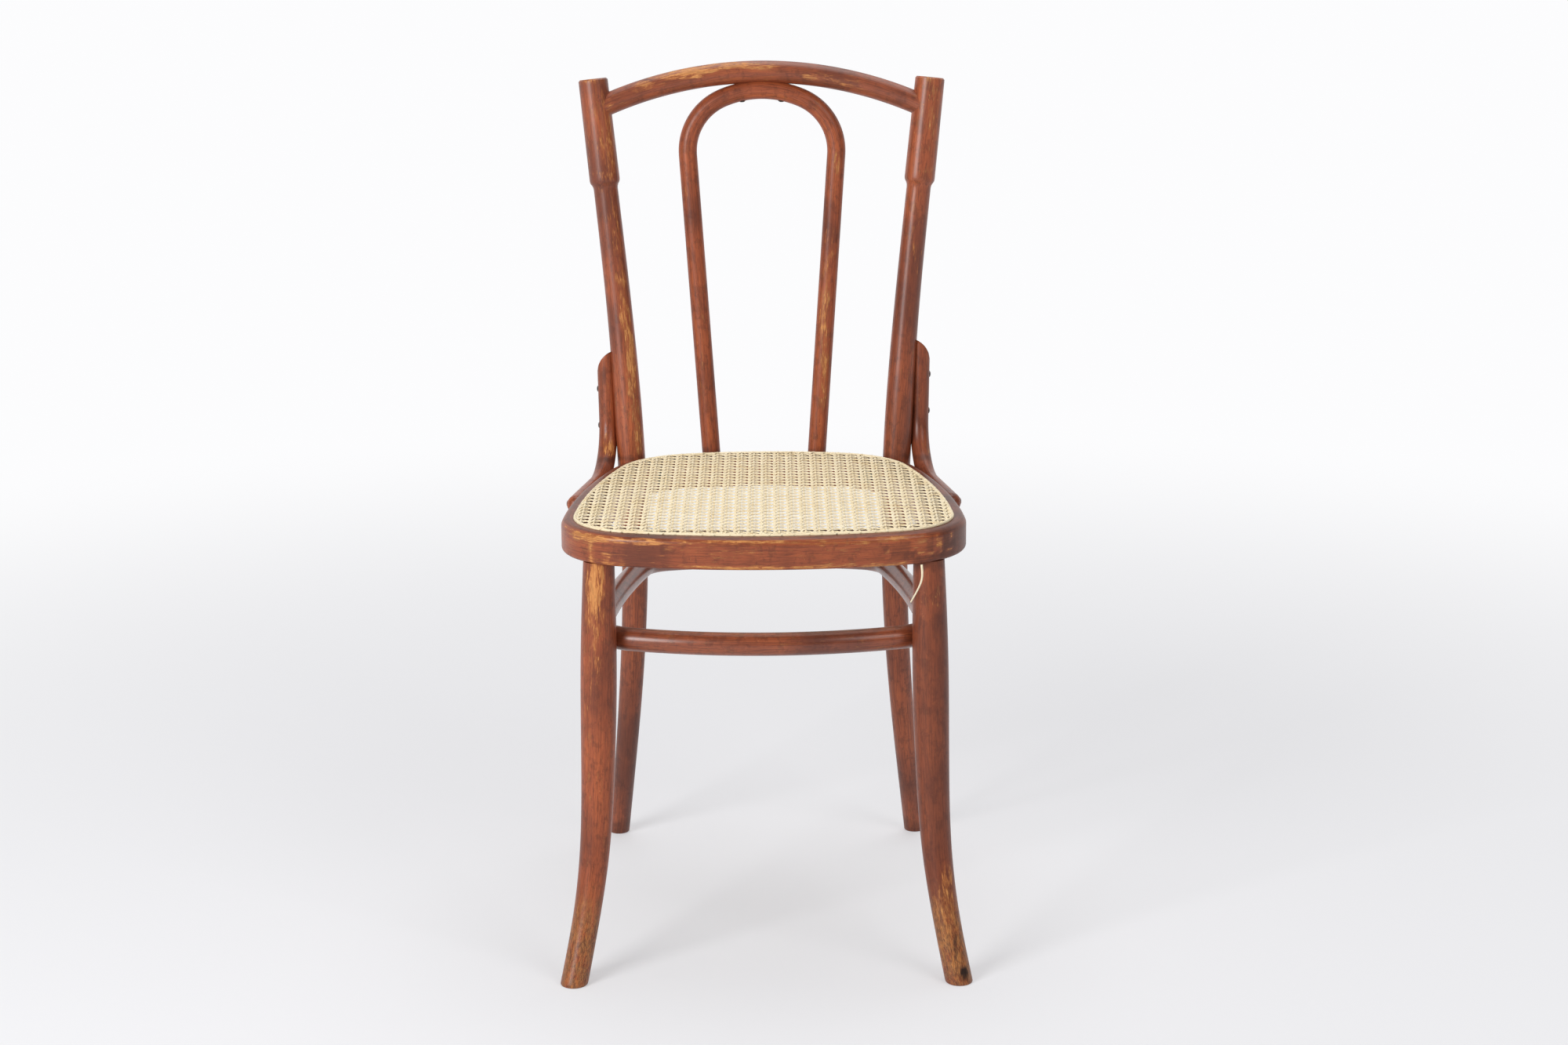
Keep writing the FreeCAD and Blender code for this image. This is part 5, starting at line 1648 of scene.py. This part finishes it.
def baked(source: bpy.types.Object, name: str) -> bpy.types.Object:
    """Turns an object's evaluated nodes into a plain mesh object, and removes the source."""
    bpy.context.view_layer.update()
    evaluated = source.evaluated_get(bpy.context.evaluated_depsgraph_get())
    data = bpy.data.meshes.new_from_object(evaluated)
    data.name = name
    made = linked(name, data)
    bpy.data.objects.remove(source)
    return made


def scattered(
    name: str, shape: bpy.types.Mesh, placed: Sequence[Placing], material: bpy.types.Material
) -> bpy.types.Object:
    """Copies a small mesh to places and turns with a geometry node tree.

    Args:
        name: The new object's name.
        shape: The mesh that is repeated, in metres.
        placed: The place and turn of each copy.
        material: The copies' finish.

    Returns:
        One plain mesh object.
    """
    data = bpy.data.meshes.new(f"{name}_places")
    data.from_pydata([place * MM for place, _ in placed], [], [])
    turns = data.attributes.new("turn", "FLOAT_VECTOR", "POINT")
    turns.data.foreach_set("vector", [angle for _, turn in placed for angle in turn])
    source = linked(f"{name}_places", data)
    pattern = linked(f"{name}_shape", shape)

    tree = bpy.data.node_groups.new(f"{name}_scatter", "GeometryNodeTree")
    tree.is_modifier = True
    tree.interface.new_socket("Places", in_out="INPUT", socket_type="NodeSocketGeometry")
    tree.interface.new_socket("Size", in_out="INPUT", socket_type="NodeSocketFloat")
    tree.interface.new_socket("Copies", in_out="OUTPUT", socket_type="NodeSocketGeometry")
    bench = Bench(tree)
    entry = bench.node("NodeGroupInput")
    turn = bench.node("GeometryNodeInputNamedAttribute", {"data_type": "FLOAT_VECTOR"}, Name="turn")
    info = bench.node("GeometryNodeObjectInfo", {"transform_space": "ORIGINAL"}, Object=pattern)
    index = bench.signal(bench.node("GeometryNodeInputIndex"))
    seed = bench.node("ShaderNodeTexWhiteNoise", {"noise_dimensions": "1D"}, W=index)
    cloud = bench.node("GeometryNodeMeshToPoints", Mesh=entry.outputs["Places"])
    named = bench.node(
        "GeometryNodeStoreNamedAttribute", {"data_type": "FLOAT", "domain": "POINT"},
        Geometry=cloud.outputs[0], Name=STRAND_ATTRIBUTE, Value=seed.outputs["Value"],
    )
    copies = bench.node(
        "GeometryNodeInstanceOnPoints", Points=named.outputs[0], Instance=info.outputs["Geometry"],
        Rotation=turn.outputs[0], Scale=entry.outputs["Size"],
    )
    real = bench.node("GeometryNodeRealizeInstances", Geometry=copies.outputs[0])
    dressed = bench.node("GeometryNodeSetMaterial", Geometry=real.outputs[0], Material=material)
    bench.node("NodeGroupOutput", in0=dressed.outputs[0])

    modifier = source.modifiers.new("scatter", "NODES")
    modifier.node_group = tree
    set_inputs(modifier, {"Size": 1.0})
    made = baked(source, name)
    bpy.data.objects.remove(pattern)
    return made


def joined(name: str, pieces: Sequence[bpy.types.Object]) -> bpy.types.Object:
    """Joins meshes of one material into a new object, and removes them."""
    mesh = bmesh.new()
    for piece in pieces:
        mesh.from_mesh(piece.data)
    data = mesh_data(name, mesh)
    data.materials.append(pieces[0].data.materials[0])
    for piece in pieces:
        bpy.data.objects.remove(piece)
    return linked(name, data)


# Screws


@dataclass(frozen=True)
class ScrewSeat:
    """Where a screw's head sits on the wood, and the way that the head faces."""

    place: Vector
    outward: Vector


@dataclass
class Fasteners:
    """The slotted round-head screws, and the finish of the bolts, nuts and washers.

    The first slot of a set is turned by first_turn, and each one after it by next_turn more, in radians.
    """

    head_radius: float = 4.2
    head_height: float = 2.8
    shank_radius: float = 2.0
    shank_length: float = 30.0
    tip_radius: float = 0.6
    tip_length: float = 4.0
    slot_length: float = 12.0
    slot_width: float = 1.0
    slot_depth: float = 1.2
    first_turn: float = 0.7
    next_turn: float = 1.9
    crease: float = 35.0
    dome_steps: int = 5
    sides: int = 20
    screws: tuple[str, ...] = (
        "bracket_post_screws", "bracket_seat_screws", "loop_rail_screws", "loop_seat_screws",
        "hoop_leg_screws",
    )
    bolts: tuple[str, ...] = ("seat_bolts", "seat_bolt_washers", "seat_bolt_nuts")

    def head_and_shank(self) -> bpy.types.Object:
        """A turned screw, its seat at the origin and its domed head towards +Z."""
        profile = [(self.tip_radius, -self.shank_length)]
        profile += [(self.shank_radius, -self.shank_length + self.tip_length), (self.shank_radius, -0.4)]
        profile += [(self.head_radius, 0.0)]
        for step in range(1, self.dome_steps):
            angle = 0.5 * math.pi * step / self.dome_steps
            profile.append((self.head_radius * math.cos(angle), self.head_height * math.sin(angle)))
        mesh = bmesh.new()
        rows = [
            [mesh.verts.new(Vector((x, y, height)) * MM) for x, y in round_outline(radius, self.sides)]
            for radius, height in profile
        ]
        for low, high in zip(rows, rows[1:]):
            for n in range(self.sides):
                m = (n + 1) % self.sides
                mesh.faces.new((low[n], low[m], high[m], high[n]))
        mesh.faces.new(rows[-1])
        mesh.faces.new(rows[0][::-1])
        return linked("screw", mesh_data("screw", mesh))

    def slot_cutter(self) -> bpy.types.Object:
        """A block that takes the slot out of the head."""
        mesh = bmesh.new()
        bmesh.ops.create_cube(mesh, size=MM)
        sizes = Matrix.Diagonal((self.slot_length, self.slot_width, 2 * self.slot_depth, 1.0))
        mesh.transform(Matrix.Translation((0.0, 0.0, self.head_height * MM)) @ sizes)
        return linked("slot", mesh_data("slot", mesh))

    def screw_mesh(self) -> bpy.types.Mesh:
        """A screw with a domed and slotted head, its seat at the origin and its dome towards +Z."""
        head = self.head_and_shank()
        slot = self.slot_cutter()
        cut = head.modifiers.new("slot", "BOOLEAN")
        cut.object = slot
        cut.solver = "EXACT"
        made = baked(head, "screw_slotted")
        bpy.data.objects.remove(slot)
        data = made.data
        bpy.data.objects.remove(made)
        data.shade_smooth()
        data.set_sharp_from_angle(angle=math.radians(self.crease))
        return data

    @staticmethod
    def islands(node: bpy.types.Object) -> list[list[Vector]]:
        """The points of each screw of a CAD node, in millimetres, in an order that is the same each run."""
        mesh = bmesh.new()
        mesh.from_mesh(node.data)
        merge_distance = 0.01
        bmesh.ops.remove_doubles(mesh, verts=mesh.verts, dist=merge_distance * MM)
        left = set(mesh.verts)
        found = []
        while left:
            group = [left.pop()]
            for vert in group:
                for edge in vert.link_edges:
                    other = edge.other_vert(vert)
                    if other in left:
                        left.remove(other)
                        group.append(other)
            found.append(sorted((vert.co / MM for vert in group), key=tuple))
        mesh.free()

        def middle(points: Sequence[Vector]) -> tuple[float, ...]:
            """The points' mean place, to the hundredth."""
            return tuple(round(value, 2) for value in sum(points, Vector()) / len(points))

        return sorted(found, key=middle)

    def seat(self, points: Sequence[Vector]) -> ScrewSeat:
        """The seat of a screw: its long axis, and the level where it is widest.

        Args:
            points: The screw's points.

        Returns:
            The middle of the head's underside, and the way out of the wood.
        """
        first = max(points, key=lambda point: (point - points[0]).length)
        second = max(points, key=lambda point: (point - first).length)
        axis = (second - first).normalized()
        middle = sum(points, Vector()) / len(points)
        # Each pass turns the guess nearer to the longest axis of the points
        for _ in range(40):
            axis = sum(((p - middle) * (p - middle).dot(axis) for p in points), Vector()).normalized()

        def girth(way: Vector) -> float:
            """The widest reach from the axis among the points that lie a way from the middle."""
            offsets = [p - middle for p in points if (p - middle).dot(way) > 0.0]
            return max((offset - way * offset.dot(way)).length for offset in offsets)

        outward = axis if girth(axis) > girth(-axis) else -axis
        top = max((p - middle).dot(outward) for p in points)
        ends = [p for p in points if (p - middle).dot(outward) > top - self.head_height - 0.1]
        centre = sum(ends, Vector()) / len(ends)
        level = top - self.head_height - (centre - middle).dot(outward)
        return ScrewSeat(centre + outward * level, outward)

    def build(self, frame: dict[str, Any]) -> list[bpy.types.Object]:
        """Sets slotted screws on the CAD screws' seats and dresses the bolts.


        Returns:
            The screws' objects and the dressed CAD nodes.
        """
        steel = AgedSteel().build()
        shape = self.screw_mesh()
        made = []
        for name in self.screws:
            placed = []
            for place, points in enumerate(self.islands(frame["nodes"][name])):
                seat = self.seat(points)
                turn = Quaternion(UP, self.first_turn + self.next_turn * place)
                turn = seat.outward.to_track_quat("Z", "Y") @ turn
                placed.append((seat.place, tuple(turn.to_euler())))
            screws = scattered(f"{name}_slotted", shape, placed, steel)
            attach(screws, BODY)
            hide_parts(name)
            made.append(screws)
        for name in self.bolts:
            node = frame["nodes"][name]
            node.data.materials.clear()
            node.data.materials.append(steel)
            made.append(node)
        return made


# Studio


@dataclass(frozen=True)
class SoftLamp:
    """A square lamp that faces the chair, in metres and watts."""

    name: str
    place: tuple[float, float, float]
    power: float
    size: float


@dataclass
class Studio:
    """The pale floor and backdrop, the soft lamps and the camera of the photograph.

    The camera's place is in millimetres, and its pitch, yaw and roll are in radians.
    """

    camera_place: tuple[float, float, float] = (9.23, -3139.05, 1182.81)
    pitch: float = 0.2380
    yaw: float = -0.0037
    roll: float = -0.0055
    focal_pixels: float = 3931.07
    image_width: int = 2000
    sensor: float = 36.0
    paper: Colour = (0.9, 0.9, 0.92)
    paper_glow: Colour = (0.94, 0.94, 0.965)
    backdrop: Colour = (0.975, 0.975, 0.985)
    floor_radius: float = 60.0
    near_glow: float = 0.42
    room_light: float = 0.35
    side_loss: float = 0.34
    front_reflection: float = 0.15
    lamp_aim: tuple[float, float, float] = (0.0, 0.0, 0.45)
    lamps: tuple[SoftLamp, ...] = (
        SoftLamp("key", (-2.1, -2.5, 1.6), 80.0, 1.4),
        SoftLamp("fill", (1.9, -2.2, 2.4), 24.0, 1.5),
        SoftLamp("top", (0.2, 0.6, 3.0), 28.0, 2.0),
    )

    def build(self) -> None:
        """Builds the stage, lights and camera."""
        self.floor()
        self.world()
        self.light()
        self.camera()

    def floor(self) -> None:
        """A wide floor whose near part takes the shadows and whose far part is the backdrop."""
        mesh = bmesh.new()
        bmesh.ops.create_circle(mesh, cap_ends=True, segments=96, radius=self.floor_radius)
        made = linked("studio_floor", mesh_data("studio_floor", mesh))
        paint = Paint("studio_paper")
        place = paint.place()
        split = paint.node("ShaderNodeSeparateXYZ", Vector=place)
        x, y = paint.signal(split, 0), paint.signal(split, 1)
        distance = paint.maths("SQRT", x * x + y * y)
        far = distance.ramp(0.4, 2.5)
        seen = self.seen(paint)
        matt = paint.node("ShaderNodeBsdfDiffuse", Color=(*self.paper, 1.0))
        glow = paint.node("ShaderNodeEmission", Color=paint.mix(far, self.paper_glow, self.backdrop))
        mixed = paint.node(
            "ShaderNodeMixShader", in0=(self.near_glow + far * (1.0 - self.near_glow)) * seen,
            in1=matt.outputs[0], in2=glow.outputs[0],
        )
        made.data.materials.append(paint.finish(mixed))

    @staticmethod
    def seen(bench: Bench) -> Signal:
        """1 for the rays that see the backdrop: straight, mirrored or through glass."""
        rays = bench.node("ShaderNodeLightPath")
        kinds = [bench.signal(rays, f"Is {kind} Ray") for kind in ("Camera", "Glossy", "Transmission")]
        return (kinds[0] + kinds[1] + kinds[2]).clamped()

    def world(self) -> None:
        """A white room: soft light, less of it from the sides, and the backdrop's white to the camera.

        What the varnish mirrors of the room is darker in front of the chair than behind it.
        """
        world = bpy.data.worlds.new("studio_room")
        world.use_nodes = True
        bpy.context.scene.world = world
        bench = Bench(world.node_tree)
        bench.tree.nodes.clear()
        seen = self.seen(bench)
        direction = bench.node("ShaderNodeTexCoord").outputs["Generated"]
        way = bench.node("ShaderNodeSeparateXYZ", Vector=direction)
        across, back = bench.signal(way, 0), bench.signal(way, 1)
        strength = self.room_light - across * across * self.side_loss
        soft = bench.node("ShaderNodeBackground", Color=(1.0, 1.0, 1.0, 1.0), Strength=strength)
        camera = bench.signal(bench.node("ShaderNodeLightPath"), "Is Camera Ray")
        mirrored = self.front_reflection + back.ramp(-0.1, 0.3) * (1.0 - self.front_reflection)
        plain = bench.node(
            "ShaderNodeBackground", Color=(*self.backdrop, 1.0),
            Strength=bench.maths("MAXIMUM", camera, mirrored),
        )
        mixed = bench.node("ShaderNodeMixShader", in0=seen, in1=soft.outputs[0], in2=plain.outputs[0])
        bench.node("ShaderNodeOutputWorld", in0=mixed.outputs[0])

    def light(self) -> None:
        """A large soft key from the left front, a fill from the right and a top light."""
        for lamp in self.lamps:
            data = bpy.data.lights.new(lamp.name, "AREA")
            data.energy = lamp.power
            data.size = lamp.size
            made = linked(lamp.name, data)
            made.location = lamp.place
            aim = Vector(self.lamp_aim) - Vector(lamp.place)
            made.rotation_euler = aim.to_track_quat("-Z", "Y").to_euler()

    def camera(self) -> None:
        """The photograph's camera, fitted from the chair's level parts."""
        lens = bpy.data.cameras.new("photo_camera")
        lens.sensor_width = self.sensor
        lens.sensor_fit = "HORIZONTAL"
        lens.lens = self.focal_pixels / self.image_width * self.sensor
        lens.clip_end = 200.0
        right = Vector((math.cos(self.yaw), math.sin(self.yaw), 0.0))
        level = Vector((-math.sin(self.yaw), math.cos(self.yaw), 0.0))
        ahead = level * math.cos(self.pitch) - UP * math.sin(self.pitch)
        up = level * math.sin(self.pitch) + UP * math.cos(self.pitch)
        rolled_right = right * math.cos(self.roll) + up * math.sin(self.roll)
        rolled_up = up * math.cos(self.roll) - right * math.sin(self.roll)
        made = linked("photo_camera", lens)
        turn = Matrix((rolled_right, rolled_up, -ahead)).transposed().to_4x4()
        made.matrix_world = Matrix.Translation(Vector(self.camera_place) * MM) @ turn
        bpy.context.scene.camera = made


def wooden_pieces() -> list[WoodenPiece]:
    """Every wooden piece, each with its own place in the grain pattern and its own darkening by age and
    painted shade.
    """
    pieces: list[WoodenPiece] = [
        SeatRing("seat_ring", 0.0, age=0.13),
        LegHoop("leg_hoop", 4.1, gloss=0.9, age=0.35),
        TopRail("top_rail", 9.3, gloss=0.45, sheen=0.3, age=0.15),
        BackLoop("back_loop", 14.9, gloss=0.25, sheen=0.28),
    ]
    # The right leg and right bracket stand away from the key lamp: their darkening is painted shade
    for side, leg_shade, bracket_shade in ((Side.RIGHT, 0.4, 0.3), (Side.LEFT, 0.0, 0.0)):
        shift = 20.0 + 3.7 * side.value
        pieces += [
            FrontLeg(f"front_leg_{side.word}", shift, age=leg_shade, side=side),
            BackPost(f"back_post_{side.word}", shift + 11.0, gloss=0.45, sheen=0.3, side=side),
            SideBracket(
                f"side_bracket_{side.word}", shift + 23.0, gloss=0.45, sheen=0.2, age=bracket_shade, side=side
            ),
        ]
    return pieces


def main() -> None:
    """Builds the chair's looks around its frame."""
    logging.basicConfig(level=logging.INFO, format="%(message)s")
    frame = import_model()
    bpy.context.scene.view_settings.view_transform = "Standard"
    for piece in wooden_pieces():
        made = piece.build()
        LOG.info("%s: %d faces", made.name, len(made.data.polygons))
    for made in CaneSeat().build():
        LOG.info("%s: %d faces", made.name, len(made.data.polygons))
    for made in Fasteners().build(frame):
        LOG.info("%s: dressed", made.name)
    Studio().build()


if __name__ == "__main__":
    main()
